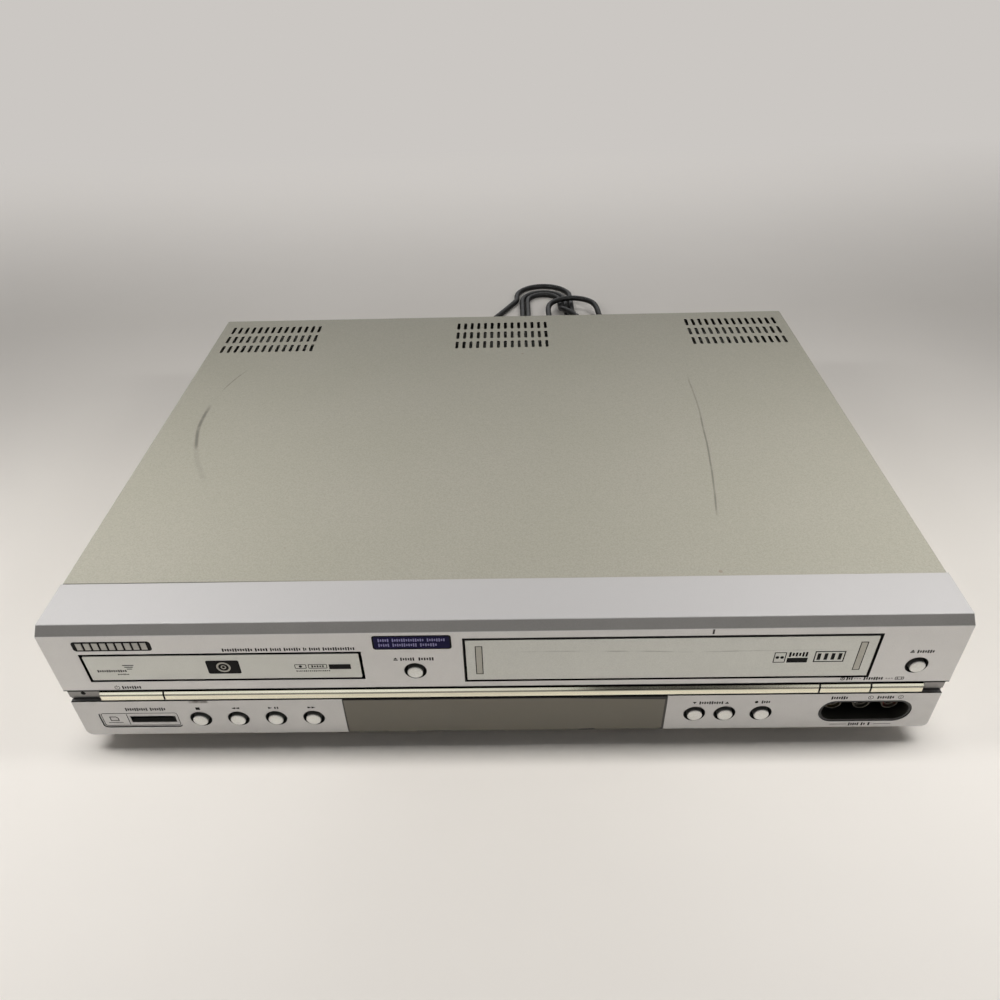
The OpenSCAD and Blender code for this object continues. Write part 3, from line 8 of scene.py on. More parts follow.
import bmesh
import bpy
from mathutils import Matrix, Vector


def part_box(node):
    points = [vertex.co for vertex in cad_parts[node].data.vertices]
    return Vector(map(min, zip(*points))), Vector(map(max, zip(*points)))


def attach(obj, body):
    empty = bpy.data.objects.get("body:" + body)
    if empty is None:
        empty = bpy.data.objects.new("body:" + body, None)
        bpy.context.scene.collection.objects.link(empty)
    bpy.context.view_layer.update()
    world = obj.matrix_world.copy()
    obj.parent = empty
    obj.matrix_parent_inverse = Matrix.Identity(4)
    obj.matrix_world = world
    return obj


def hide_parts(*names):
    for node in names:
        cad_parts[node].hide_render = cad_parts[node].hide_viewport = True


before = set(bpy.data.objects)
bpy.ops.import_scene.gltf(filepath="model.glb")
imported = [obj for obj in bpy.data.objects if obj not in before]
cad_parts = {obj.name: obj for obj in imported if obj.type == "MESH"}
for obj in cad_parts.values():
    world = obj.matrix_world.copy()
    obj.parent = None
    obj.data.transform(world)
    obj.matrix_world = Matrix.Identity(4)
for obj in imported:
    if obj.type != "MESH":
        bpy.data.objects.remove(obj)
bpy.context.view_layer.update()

bl_info = {
    "name": "Disc and Tape Player",
    "version": (1, 0, 0),
    "blender": (4, 5, 0),
    "location": "3D View > Sidebar > Player",
    "description": "Finishes, marks, cord and studio for a combined disc and tape player",
    "category": "Object",
}

# The part's own places, in metres.
MM = 0.001
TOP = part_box("top_cover")[1][2]
LOWER_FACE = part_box("display_window")[0][1]
UPPER_FACE = LOWER_FACE + 1.6 * MM
TRAY_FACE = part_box("tray_door")[0][1]
DOOR_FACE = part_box("cassette_door")[0][1]
REAR_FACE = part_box("rear_panel")[1][1]

# Places and sizes in mm. The scratches have three points of an arc, then their parts.
HALF_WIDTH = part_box("front_fascia")[1][0] / MM
TRIM_FOOT = 48.5
SLEEVE_RADIUS = 4.2
EDGE_RADIUS = 0.25
LEFT_SCRATCH = (((-178.6, 82.3), (-191.1, 16.2), (-180.5, -29.1)),
                ((56, 80, 0.7, 0.7), (-17, 31, 1.5, 1.0), (-50, -10, 2.2, 0.22)))
RIGHT_SCRATCH = (((125.8, 60.7), (121.9, -27.5), (113.9, -90.4)),
                 ((-86, 12, 0.75, 0.9), (0, 58, 0.7, 0.6)))
SCRATCH_FADE = 5

# Sizes in metres. A scratch wanders so far from its arc, and shows so far from its first point's x.
# The floor fades into the background between the two distances of each FADE.
SCRATCH_WANDER = 0.35 * MM
SCRATCH_SIDE = 0.03
INK_PROUD = 0.05 * MM
INK_DEPTH = 0.15 * MM
FLOOR_REST = 2.8 * MM
ROUTE_STEP = 4 * MM
FLOOR_REACH = 6.0
FADE_BEHIND = (0.35, 1.0)
FADE_AROUND = (0.6, 1.3)

# How far the rounded face turns from the flat one, as a cosine, from off an edge to on it.
EDGE_TURN = (0.995, 0.85)

# Strokes of a caption: their heights in turn, and their share of the pitch.
STROKE_HEIGHTS = (1.0, 0.66, 0.82, 0.66, 0.94)
STROKE_SHARE = 0.62

# How finely curves are cut, and how finely rounded edges are sampled.
BEVEL_SAMPLES = 4
CORNER_STEPS = 5
ARC_STEPS = 14
HANK_STEPS = 12
HANK_TURNS = 3


def ink(red, green, blue):
    """A colour written in 0 to 255 steps, as the linear value that shaders use."""
    def linear(step):
        share = step / 255
        return share / 12.92 if share <= 0.04045 else ((share + 0.055) / 1.055) ** 2.4
    return (linear(red), linear(green), linear(blue))


# Black laid as painted shade: in gaps and openings, on the doors' sides and over the lower face.
SHADE_BLACK = ink(7, 7, 7)


# ---- Settings ----

COLOUR = {"subtype": "COLOR", "size": 3, "min": 0, "max": 1}
LENGTH = {"subtype": "DISTANCE", "unit": "LENGTH"}
POWER = {"subtype": "POWER", "unit": "POWER", "min": 0}
SHARE = {"subtype": "FACTOR", "min": 0, "max": 1}


class PlayerColours(bpy.types.PropertyGroup):
    """Colours of the cabinet and its controls."""

    cover: bpy.props.FloatVectorProperty(
        name="Cover", description="Textured paint of the steel cover", default=ink(169, 165, 151), **COLOUR)
    silver: bpy.props.FloatVectorProperty(
        name="Fascia", description="Silver paint of the moulded front",
        default=ink(208, 207, 206), **COLOUR)
    band: bpy.props.FloatVectorProperty(
        name="Top band", description="Silver paint of the fascia's top band",
        default=ink(194, 191, 189), **COLOUR)
    # The sloping edge's colour is painted shade and reflection, darker than the fascia's silver.
    slope: bpy.props.FloatVectorProperty(
        name="Sloping edge", description="Dark satin paint of the fascia's sloping edge",
        default=ink(140, 137, 133), **COLOUR)
    door: bpy.props.FloatVectorProperty(
        name="Doors", description="Silver paint of the tray door and the cassette door",
        default=ink(202, 203, 198), **COLOUR)
    window: bpy.props.FloatVectorProperty(
        name="Window", description="Smoked olive of the display window",
        default=ink(110, 105, 92), **COLOUR)
    chrome: bpy.props.FloatVectorProperty(
        name="Trim", description="Warm chrome of the trim strip and its keys",
        default=ink(247, 243, 222), **COLOUR)
    cap: bpy.props.FloatVectorProperty(
        name="Button caps", description="Bright metallic paint of the round buttons",
        default=ink(252, 250, 243), **COLOUR)
    print_ink: bpy.props.FloatVectorProperty(
        name="Print", description="Ink of the printed marks", default=ink(14, 13, 13), **COLOUR)
    sticker: bpy.props.FloatVectorProperty(
        name="Sticker", description="Ground of the round-cornered sticker",
        default=ink(22, 18, 66), **COLOUR)
    cord: bpy.props.FloatVectorProperty(
        name="Cord", description="Sheath of the power cord", default=ink(15, 14, 13), **COLOUR)


class PlayerWear(bpy.types.PropertyGroup):
    """Signs of use."""

    scratches: bpy.props.FloatProperty(
        name="Scratches", description="Strength of the two long scratches on the cover",
        default=0.75, **SHARE)
    grain: bpy.props.FloatProperty(
        name="Paint grain", description="Height of the cover paint's grain",
        min=0, max=0.0005, default=0.00006, **LENGTH)
    edge_wear: bpy.props.FloatProperty(
        name="Edge wear", description="How far paint is rubbed lighter along the edges",
        default=0.35, **SHARE)
    grime: bpy.props.FloatProperty(
        name="Grime", description="Strength of the dirt in corners and on faces", default=0.3, **SHARE)


class PlayerCord(bpy.types.PropertyGroup):
    """Sizes of the power cord."""

    diameter: bpy.props.FloatProperty(
        name="Diameter", description="Outer diameter of the cord",
        min=0.003, max=0.01, default=0.0054, **LENGTH)
    hank_x: bpy.props.FloatProperty(
        name="Hank place", description="Middle of the hank across the width", default=0.041, **LENGTH)
    leg_near: bpy.props.FloatProperty(
        name="Hank near end", description="Where the hank's straight runs start, in depth",
        default=0.2927, **LENGTH)
    leg_far: bpy.props.FloatProperty(
        name="Hank far end", description="Where the inner turns' straight runs end, in depth",
        default=0.3781, **LENGTH)
    inner_radius: bpy.props.FloatProperty(
        name="Inner radius", description="Radius of the innermost turn",
        min=0.01, max=0.03, default=0.0168, **LENGTH)
    turn_pitch: bpy.props.FloatProperty(
        name="Turn pitch", description="Distance from one turn to the next",
        min=0.0054, max=0.01, default=0.0056, **LENGTH)


class PlayerStage(bpy.types.PropertyGroup):
    """Camera, floor and lamps."""

    camera_place: bpy.props.FloatVectorProperty(
        name="Camera place", description="Where the camera stands",
        subtype="TRANSLATION", unit="LENGTH", size=3, default=(0.00792, -0.42181, 0.35176))
    camera_turn: bpy.props.FloatVectorProperty(
        name="Camera turn", description="The camera's rotation about X, Y and Z",
        subtype="EULER", unit="ROTATION", size=3,
        default=(math.radians(52.605), math.radians(1.356), math.radians(0.322)))
    lens: bpy.props.FloatProperty(
        name="Lens", description="Focal length in millimetres on a 36 mm sensor",
        min=10, max=200, default=28.96)
    floor: bpy.props.FloatVectorProperty(
        name="Floor", description="Colour of the floor", default=ink(244, 238, 230), **COLOUR)
    backdrop: bpy.props.FloatVectorProperty(
        name="Backdrop", description="Colour of the background far behind the part",
        default=ink(203, 199, 195), **COLOUR)
    key_power: bpy.props.FloatProperty(
        name="Key lamp", description="Power of the soft lamp above the front", default=1.4, **POWER)
    floor_power: bpy.props.FloatProperty(
        name="Floor lamp", description="Power of the lamp that shines down in front", default=1.0, **POWER)
    rear_power: bpy.props.FloatProperty(
        name="Rear lamp", description="Power of the soft lamp behind", default=5.2, **POWER)
    back_power: bpy.props.FloatProperty(
        name="Back lamp", description="Power of the lamp that faces the back panel", default=4.5, **POWER)
    side_power: bpy.props.FloatProperty(
        name="Side lamps", description="Power of each soft lamp at the sides", default=0.8, **POWER)
    front_power: bpy.props.FloatProperty(
        name="Front lamps", description="Power of each low lamp in front", default=1.8, **POWER)
    ambient: bpy.props.FloatProperty(
        name="Ambient", description="Strength of the even light all round",
        min=0, max=2, default=0.06)
    mirrored: bpy.props.FloatProperty(
        name="Mirrored", description="Strength of the paler light overhead in polished faces",
        min=0, max=2, default=0.5)


# ---- Building finishes ----


def shade(base, share):
    """A colour made darker or lighter by a share."""
    return tuple(min(1.0, c * share) for c in base)


def drop(height):
    """Drop from the top, in mm, of a height in metres."""
    return (TOP - height) / MM


class Coat:
    """One procedural finish, fed by the part's own coordinates in metres."""

    def __init__(self, name, roughness, metallic, bevel):
        """Starts a finish whose edges look rounded by a bevel in mm."""
        self.name = name
        self.material = bpy.data.materials.new(f"{name}_finish")
        self.material.use_nodes = True
        self.tree = self.material.node_tree
        self.tree.nodes.clear()
        self.shader = self.add("ShaderNodeBsdfPrincipled")
        self.set("Roughness", roughness)
        self.set("Metallic", metallic)
        self.output = self.add("ShaderNodeOutputMaterial")
        self.wire(self.shader.outputs["BSDF"], self.output.inputs["Surface"])
        self.place = self.add("ShaderNodeTexCoord").outputs["Object"]
        split = self.add("ShaderNodeSeparateXYZ")
        self.wire(self.place, split.inputs[0])
        self.x, self.y, self.z = split.outputs
        rounded = self.add("ShaderNodeBevel", samples=BEVEL_SAMPLES)
        rounded.inputs["Radius"].default_value = bevel * MM
        self.normal = rounded.outputs["Normal"]
        self.wire(self.normal, self.shader.inputs["Normal"])

    def add(self, kind, **settings):
        """A new node with these settings."""
        made = self.tree.nodes.new(kind)
        for key, value in settings.items():
            setattr(made, key, value)
        return made

    def wire(self, source, target):
        """Links an output to an input."""
        self.tree.links.new(source, target)

    def feed(self, target, value):
        """Links a socket, or writes a plain number or colour on it."""
        if isinstance(value, bpy.types.NodeSocket):
            self.wire(value, target)
        elif isinstance(value, (tuple, list)):
            target.default_value = (*value, 1.0) if len(target.default_value) == 4 else value
        else:
            target.default_value = value

    def set(self, socket, value):
        """Feeds a socket of the shader by its name."""
        self.feed(self.shader.inputs[socket], value)

    def calc(self, operation, *values):
        """Arithmetic on up to three values."""
        step = self.add("ShaderNodeMath", operation=operation)
        for target, value in zip(step.inputs, values):
            self.feed(target, value)
        return step.outputs[0]

    def both(self, first, *others):
        """The product of masks: 1 where each of them is 1."""
        for other in others:
            first = self.calc("MULTIPLY", first, other)
        return first

    def either(self, first, *others):
        """The highest of masks: 1 where one of them is 1."""
        for other in others:
            first = self.calc("MAXIMUM", first, other)
        return first

    def span(self, value, low, high, to_low=0.0, to_high=1.0):
        """Maps low..high onto to_low..to_high and holds it there outside."""
        step = self.add("ShaderNodeMapRange", clamp=True)
        for target, number in zip(step.inputs, (value, low, high, to_low, to_high)):
            self.feed(target, number)
        return step.outputs[0]

    def ramp(self, axis, start, low, high, to_low=0.0, to_high=1.0):
        """A span along an axis, with low and high in mm from a start in metres."""
        return self.span(axis, start + low * MM, start + high * MM, to_low, to_high)

    def inside(self, axis, start, low, high, soft):
        """1 between low and high in mm from a start in metres, fading out over soft mm."""
        return self.both(self.ramp(axis, start, low - soft, low + soft),
                         self.ramp(axis, start, high - soft, high + soft, 1.0, 0.0))

    def patch(self, left, right, low, high, soft):
        """1 inside a rectangle of the front, from its sides' x and its edges' drops in mm."""
        return self.both(self.inside(self.x, 0.0, left, right, soft),
                         self.inside(self.z, TOP, -low, -high, soft))

    def edges(self, radius):
        """1 along edges, out to a radius in mm, and 0 on open faces."""
        bent = self.add("ShaderNodeBevel", samples=BEVEL_SAMPLES)
        bent.inputs["Radius"].default_value = radius * MM
        flat = self.add("ShaderNodeNewGeometry").outputs["Normal"]
        turn = self.add("ShaderNodeVectorMath", operation="DOT_PRODUCT")
        self.wire(bent.outputs["Normal"], turn.inputs[0])
        self.wire(flat, turn.inputs[1])
        return self.span(turn.outputs["Value"], *EDGE_TURN)

    def noise(self, scale, detail=2.0, stretch=None):
        """Smooth noise with so many cells to the metre, drawn out where stretch is below 1."""
        step = self.add("ShaderNodeTexNoise")
        step.inputs["Scale"].default_value = scale
        step.inputs["Detail"].default_value = detail
        place = self.place
        if stretch:
            turn = self.add("ShaderNodeMapping")
            turn.inputs["Scale"].default_value = stretch
            self.wire(place, turn.inputs["Vector"])
            place = turn.outputs["Vector"]
        self.wire(place, step.inputs["Vector"])
        return step.outputs["Fac"]

    def drift(self, low, high, scale, detail=2.0, stretch=None, rise=(0.3, 0.7)):
        """A number that goes from low to high as noise goes through the rise."""
        return self.span(self.noise(scale, detail, stretch), *rise, low, high)

    def cells(self, scale):
        """Distance to the nearest of scattered points, so many to the metre."""
        step = self.add("ShaderNodeTexVoronoi")
        step.inputs["Scale"].default_value = scale
        self.wire(self.place, step.inputs["Vector"])
        return step.outputs["Distance"]

    def tint(self, factor, first, second):
        """A colour between two, by factor."""
        step = self.add("ShaderNodeMix", data_type="RGBA")
        self.feed(step.inputs["Factor"], factor)
        self.feed(step.inputs["A"], first)
        self.feed(step.inputs["B"], second)
        return step.outputs["Result"]

    def grained(self, grain, base, dark, light, rise=(0.3, 0.7)):
        """A base colour times dark to light, as the grain goes through the rise."""
        return self.tint(self.span(grain, *rise), shade(base, dark), shade(base, light))

    def mottle(self, base, spread, scale):
        """A colour that wanders a little lighter and darker than base."""
        return self.grained(self.noise(scale, 3.0), base, 1 - spread, 1 + spread)

    def relief(self, height, distance):
        """Raises the surface by a height map."""
        step = self.add("ShaderNodeBump")
        step.inputs["Distance"].default_value = distance
        self.feed(step.inputs["Height"], height)
        self.wire(self.normal, step.inputs["Normal"])
        self.normal = step.outputs["Normal"]
        self.wire(self.normal, self.shader.inputs["Normal"])

    def colour(self, value):
        """Sets the base colour."""
        self.ground = value
        self.set("Base Color", value)

    def lay(self, colour, mask, strength=1.0):
        """Lays a colour over the base colour where a mask is 1, at a strength."""
        if strength != 1.0:
            mask = self.both(mask, strength)
        self.colour(self.tint(mask, self.ground, colour))

    def rough(self, value):
        """Sets the roughness."""
        self.set("Roughness", value)

    def metal(self, value):
        """Sets how metallic it is."""
        self.set("Metallic", value)


def moulded(name, base, roughness, grain=900, depth=0.02, spread=0.06, metallic=0.0):
    """Moulded plastic with a fine grain, whose depth is in mm."""
    swing = 0.07
    coat = Coat(name, roughness, metallic, EDGE_RADIUS)
    coat.colour(coat.mottle(base, spread, 60))
    coat.rough(coat.drift(roughness - swing, roughness + swing, 300))
    coat.relief(coat.noise(grain), depth * MM)
    return coat


def matt_ink(name, base):
    """Screen-printed ink that hardly shines."""
    coat = moulded(name, base, 0.65, 2500, 0.01, 0.15)
    coat.set("Specular IOR Level", 0.15)
    return coat


def sheet_metal(name, base, roughness, stretch):
    """Rolled or drawn metal with fine lines along one way."""
    swing = 0.06
    coat = Coat(name, roughness, 1.0, 0.15)
    lines = coat.noise(700, 3, stretch)
    coat.colour(coat.grained(lines, base, 0.86, 1.06, (0.35, 0.65)))
    stains = coat.drift(0.0, 1.0, 25, 4, rise=(0.35, 0.7))
    coat.rough(coat.calc("ADD", coat.span(lines, 0.3, 0.7, roughness - swing, roughness + swing),
                         coat.both(stains, 0.12)))
    coat.relief(lines, 0.01 * MM)
    return coat


def printed_board(name, base, trace):
    """A circuit board with copper tracks under its lacquer."""
    coat = Coat(name, 0.4, 0.0, 0.1)
    grid = coat.add("ShaderNodeTexBrick", offset=0.37, squash=0.6)
    for socket, value in (("Scale", 220), ("Mortar Size", 0.03), ("Color1", (1, 1, 1)),
                          ("Color2", (0.8, 0.8, 0.8)), ("Mortar", (0, 0, 0)), ("Vector", coat.place)):
        coat.feed(grid.inputs[socket], value)
    tracks = coat.both(grid.outputs["Fac"], coat.drift(0.0, 1.0, 60, 1, rise=(0.45, 0.55)))
    coat.colour(coat.mottle(base, 0.12, 120))
    coat.lay(trace, tracks)
    coat.rough(coat.drift(0.3, 0.5, 400))
    coat.relief(tracks, 0.03 * MM)
    return coat


def circle_through(first, second, third):
    """Middle and radius of the circle through three points."""
    (ax, ay), (bx, by), (cx, cy) = first, second, third
    aa, bb, cc = ax**2 + ay**2, bx**2 + by**2, cx**2 + cy**2
    twice = 2 * (ax * (by - cy) + bx * (cy - ay) + cx * (ay - by))
    x = (aa * (by - cy) + bb * (cy - ay) + cc * (ay - by)) / twice
    y = (aa * (cx - bx) + bb * (ax - cx) + cc * (bx - ax)) / twice
    return x, y, math.hypot(ax - x, ay - y)


def arc_scratch(coat, points, parts):
    """A mask for a scratch along the circle through three points of the cover's top, in mm.

    Each part has its two ends along Y, its width and its strength.
    """
    x, y, radius = circle_through(*points)
    dx = coat.calc("SUBTRACT", coat.x, x * MM)
    dy = coat.calc("SUBTRACT", coat.y, y * MM)
    reach = coat.calc("SQRT", coat.calc("ADD", coat.both(dx, dx), coat.both(dy, dy)))
    wander = coat.drift(-SCRATCH_WANDER, SCRATCH_WANDER, 45, 1, rise=(0.2, 0.8))
    off = coat.calc("ABSOLUTE", coat.calc("ADD", coat.calc("SUBTRACT", reach, radius * MM), wander))
    marks = 0.0
    for low, high, width, strength in parts:
        line = coat.ramp(off, 0.0, width * 0.3, width, strength, 0.0)
        marks = coat.either(marks, coat.both(line, coat.inside(coat.y, 0.0, low, high, SCRATCH_FADE)))
    side = coat.calc("COMPARE", coat.x, points[0][0] * MM, SCRATCH_SIDE)
    return coat.both(marks, side, coat.drift(0.6, 1.0, 130, rise=(0.3, 0.5)))


def cover_paint(colours, wear):
    """Textured paint with two long scratches and rubbed edges, a line of painted shade along its front edge at
    the left, and black inside as painted shade.
    """
    base = colours.cover
    (left, front, _), (right, back, _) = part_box("top_cover")
    coat = Coat("cover_paint", 0.55, 0.0, 0.5)
    coat.set("Specular IOR Level", 0.4)
    fine = coat.noise(1500)
    coat.colour(coat.grained(fine, base, 0.9, 1.09))
    coat.lay(ink(150, 150, 128), coat.drift(0.0, 0.12, 14, 3, rise=(0.35, 0.7)))
    coat.lay(shade(base, 1.25), coat.edges(0.8), wear.edge_wear)
    scratches = coat.either(arc_scratch(coat, *LEFT_SCRATCH), arc_scratch(coat, *RIGHT_SCRATCH))
    coat.lay(shade(base, 0.3), scratches, wear.scratches)
    specks = coat.both(coat.span(coat.cells(38), 0.045, 0.03), coat.drift(0.0, 1.0, 9, 1, rise=(0.55, 0.62)))
    coat.lay(ink(120, 96, 78), specks, 0.5)
    # Painted shade: the cover's underside and the walls of its vent slots are black.
    under = coat.both(coat.inside(coat.x, 0.0, left / MM + 2, right / MM - 2, 0.1),
                      coat.inside(coat.y, 0.0, front / MM + 1, back / MM - 1, 0.1),
                      coat.ramp(coat.z, TOP, -0.1, -0.2))
    coat.lay(ink(14, 14, 13), under)
    # Painted shade along the cover's front edge, towards the left, where it meets the fascia.
    seam = coat.both(coat.ramp(coat.y, front, 0.7, 0.45), coat.ramp(coat.x, 0.0, -70, -150, 0.0, 0.8))
    coat.lay(ink(40, 38, 34), seam)
    coat.rough(coat.drift(0.48, 0.62, 500))
    coat.relief(fine, wear.grain)
    coat.relief(coat.noise(3500, 1), wear.grain * 0.5)
    return coat


def silver_paint(name, base, wear):
    """Fine metallic paint on moulded plastic, with cloudy dirt."""
    coat = Coat(name, 0.34, 0.85, 0.3)
    coat.flake = coat.noise(2600, 1)
    coat.colour(coat.grained(coat.flake, base, 0.94, 1.06))
    clouds = coat.drift(0.0, 1.0, 22, 4, (1, 1, 2.2), (0.42, 0.75))
    coat.lay(shade(base, 0.72), clouds, wear.grime * 0.35)
    coat.lay(shade(base, 1.25), coat.edges(0.5), wear.edge_wear)
    coat.dullness = coat.drift(0.33, 0.46, 180, 3, rise=(0.3, 0.75))
    coat.rough(coat.dullness)
    coat.relief(coat.flake, 0.012 * MM)
    return coat


def fascia_paint(colours, wear):
    """The fascia's silver paint, brighter on top, with painted shade and reflection on its sloping edge, and
    painted shade in the channel behind the trim, over the lower face, in its unpainted openings and along its
    seams.
    """
    band, slope = colours.band, colours.slope
    coat = silver_paint("silver_plastic", colours.silver, wear)
    crest = (coat.z, TOP, -0.35, -0.15)
    coat.lay(coat.grained(coat.flake, band, 0.95, 1.04), coat.ramp(*crest))
    # Painted shade and reflection on the sloping edge.
    sloping = coat.both(coat.inside(coat.z, TOP, -3.95, -0.3, 0.12),
                        coat.ramp(coat.y, UPPER_FACE, 4.2, 4.8, 1.0, 0.0))
    coat.lay(coat.grained(coat.flake, slope, 0.92, 1.06), sloping)
    # Painted shade: the lower face, below the trim's foot, is a little darker.
    coat.lay(SHADE_BLACK, coat.ramp(coat.z, TOP, -TRIM_FOOT, -TRIM_FOOT - 0.3, 0.0, 0.13))
    # Painted shade in the recessed channel behind the trim.
    coat.lay(shade(slope, 0.7), coat.patch(-300, 300, TRIM_FOOT, 42.4, 0.1), 0.75)
    smudge = coat.both(coat.patch(-154.6, -145.2, 50.4, 48, 0.5), coat.drift(0.45, 1.0, 260, rise=(0.3, 0.6)))
    coat.lay(ink(96, 92, 88), smudge, 0.85)
    nick = coat.patch(97.1, 98, 7.4, 4.3, 0.15)
    coat.lay(ink(50, 48, 46), nick)
    # Painted shade in the openings, on the ledge under the trim and along the seams.
    coat.lay(SHADE_BLACK, coat.either(shaded_walls(coat), seam_shadow(coat)))
    coat.metal(coat.ramp(*crest, 0.85, 0.2))
    coat.rough(coat.calc("ADD", coat.dullness, coat.ramp(*crest, 0.0, 0.15)))
    return coat


def seam_shadow(coat):
    """Painted shade drawn along the door openings and over the trim, on the painted face."""
    lines = coat.patch(-HALF_WIDTH, HALF_WIDTH, 43, 41.75, 0.1)
    for node, side, under in (("cassette_door", -2.2, 1.1), ("tray_door", 0.95, 0.95)):
        (left, _, low), (right, _, high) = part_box(node)
        around = coat.patch(left / MM - side, right / MM + side, drop(low) + under, drop(high) - 0.75, 0.08)
        lines = coat.either(lines, around)
    return coat.both(lines, coat.ramp(coat.y, UPPER_FACE, 6, 5))


def shaded_walls(coat):
    """1 on the fascia's unpainted walls inside its openings and on the ledge under the trim, which take black
    as painted shade, 0 on painted faces.
    """
    upper = coat.both(coat.patch(1.2 - HALF_WIDTH, HALF_WIDTH - 1.2, 42.2, 4.6, 0.04),
                      coat.ramp(coat.y, UPPER_FACE, 0.08, 0.16))
    lower = coat.both(coat.patch(10 - HALF_WIDTH, HALF_WIDTH - 10, 74, 48.7, 0.04),
                      coat.ramp(coat.y, LOWER_FACE, 0.08, 0.16))
    rim = coat.either(coat.ramp(coat.y, LOWER_FACE, 0.8, 0.6), coat.ramp(coat.y, LOWER_FACE, 2, 2.2))
    ledge = coat.both(coat.patch(-HALF_WIDTH, HALF_WIDTH, 48.72, TRIM_FOOT, 0.02),
                      coat.span(rim, 0.0, 1.0, 0.62, 0.95))
    window = coat.patch(-78.6, 80.8, 49.9, TRIM_FOOT, 0.04)
    return coat.either(upper, lower, ledge, window)


def door_paint(colours, wear):
    """The doors' silver paint, with a long faint scuff across the cassette door."""
    base = colours.door
    coat = silver_paint("door_silver", base, wear)
    wave = coat.drift(-0.8 * MM, 0.8 * MM, 16, 1, (1, 0.1, 0.1), (0.2, 0.8))
    height = coat.calc("MULTIPLY_ADD", coat.x, 0.0124, coat.calc("ADD", coat.z, wave))
    scuff = coat.both(coat.inside(height, TOP, -17.8, -17.2, 0.3), coat.inside(coat.x, 0.0, 20, 150, 22),
                      coat.drift(0.0, 1.0, 60, 3, (1, 1, 4), (0.38, 0.62)))
    coat.lay(shade(base, 0.4), scuff, 0.7)
    # Painted shade: the doors' sides behind their faces are black.
    coat.lay(SHADE_BLACK, coat.ramp(coat.y, DOOR_FACE, 0.05, 0.12))
    return coat


def chrome(colours):
    """Warm polished trim with fine drawn lines, faint darker clouds, painted dark reflections on its upper
    facet and along its middle, and painted shade in the gaps along it and beside its keys.
    """
    base = colours.chrome
    coat = Coat("trim_chrome", 0.16, 0.9, 0.2)
    lines = coat.noise(320, 3, (0.03, 1, 1))
    coat.colour(coat.grained(lines, base, 0.9, 1.05, (0.35, 0.65)))
    # Faint darker clouds laid over the trim.
    dim_clouds = coat.drift(0.0, 1.0, 18, 3, (1, 1, 3), (0.35, 0.75))
    coat.lay(ink(206, 200, 172), dim_clouds, 0.25)
    above_ridge = (coat.z, TOP, -44.7, -44.4)
    # Painted reflection: the upper facet is darker over two stretches.
    dark_reflection = coat.both(coat.inside(coat.x, 0.0, 58, 152, 26), coat.ramp(*above_ridge), 0.8)
    faint_dark_reflection = coat.both(coat.inside(coat.x, 0.0, -24, 40, 30), coat.ramp(*above_ridge, 0.0, 0.4))
    coat.lay(shade(base, 0.35), coat.either(dark_reflection, faint_dark_reflection))
    # Painted reflection: a dark line where the two facets meet.
    ridge = coat.inside(coat.z, TOP, -45.2, -44.3, 0.1)
    coat.lay(shade(base, 0.2), ridge, 0.9)
    # Painted shade in the gaps along the trim's top and foot and beside its keys.
    gap_shade = coat.either(coat.ramp(coat.z, TOP, -43.2, -43.05), coat.ramp(coat.z, TOP, -47.9, -48.1))
    for key, side in (("power_button", 1), ("dvd_select_button", 0), ("dvd_select_button", 1)):
        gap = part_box(key)[side][0] / MM + (-0.2, 0.2)[side]
        gap_shade = coat.either(gap_shade, coat.inside(coat.x, 0.0, gap - 0.45, gap + 0.45, 0.1))
    coat.lay(ink(9, 9, 8), gap_shade)
    coat.rough(coat.drift(0.1, 0.26, 90, 4, (0.3, 1, 1), (0.3, 0.8)))
    coat.relief(lines, 0.004 * MM)
    return coat


def smoked_window(colours):
    """Smoked acrylic with painted shade along its rim, its top edge and a wedge along its top, chipped along
    its lower edge.
    """
    base = colours.window
    (left, _, foot), (right, _, _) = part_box("display_window")
    left, right, foot = left / MM, right / MM, drop(foot)
    coat = Coat("smoked_window", 0.2, 0.0, 0.2)
    coat.set("IOR", 1.49)
    coat.colour(coat.tint(coat.ramp(coat.z, TOP, -75, -50), shade(base, 0.92), shade(base, 1.15)))
    coat.lay(ink(118, 113, 98), coat.drift(0.0, 0.12, 12, 3, rise=(0.4, 0.75)))
    chips = coat.both(coat.patch(36, 80, foot + 1, foot - 1.3, 0.4),
                      coat.drift(0.0, 1.0, 160, 3, (0.35, 1, 1), (0.46, 0.52)))
    coat.lay(ink(30, 28, 24), chips)
    # Painted shade in the gaps around the window: a wedge along its top that widens to the right, a line along
    # its top edge, and its rim.
    rise = coat.calc("MULTIPLY_ADD", coat.x, 0.032, coat.z)
    wedge = coat.both(coat.ramp(rise, TOP, -48.9, -48.7), coat.ramp(coat.x, 0.0, 8, 26))
    edge = coat.ramp(coat.z, TOP, -49.8, -49.5)
    rim = coat.calc("SUBTRACT", 1.0, coat.patch(left + 0.5, right - 1, foot - 0.25, 49.7, 0.1))
    coat.lay(ink(9, 8, 7), coat.either(wedge, edge, coat.both(rim, 0.75)))
    streak = coat.patch(-58, -44, 74.6, 73.8, 0.4)
    coat.lay(ink(150, 146, 130), streak, 0.6)
    coat.rough(coat.drift(0.3, 0.36, 30))
    return coat


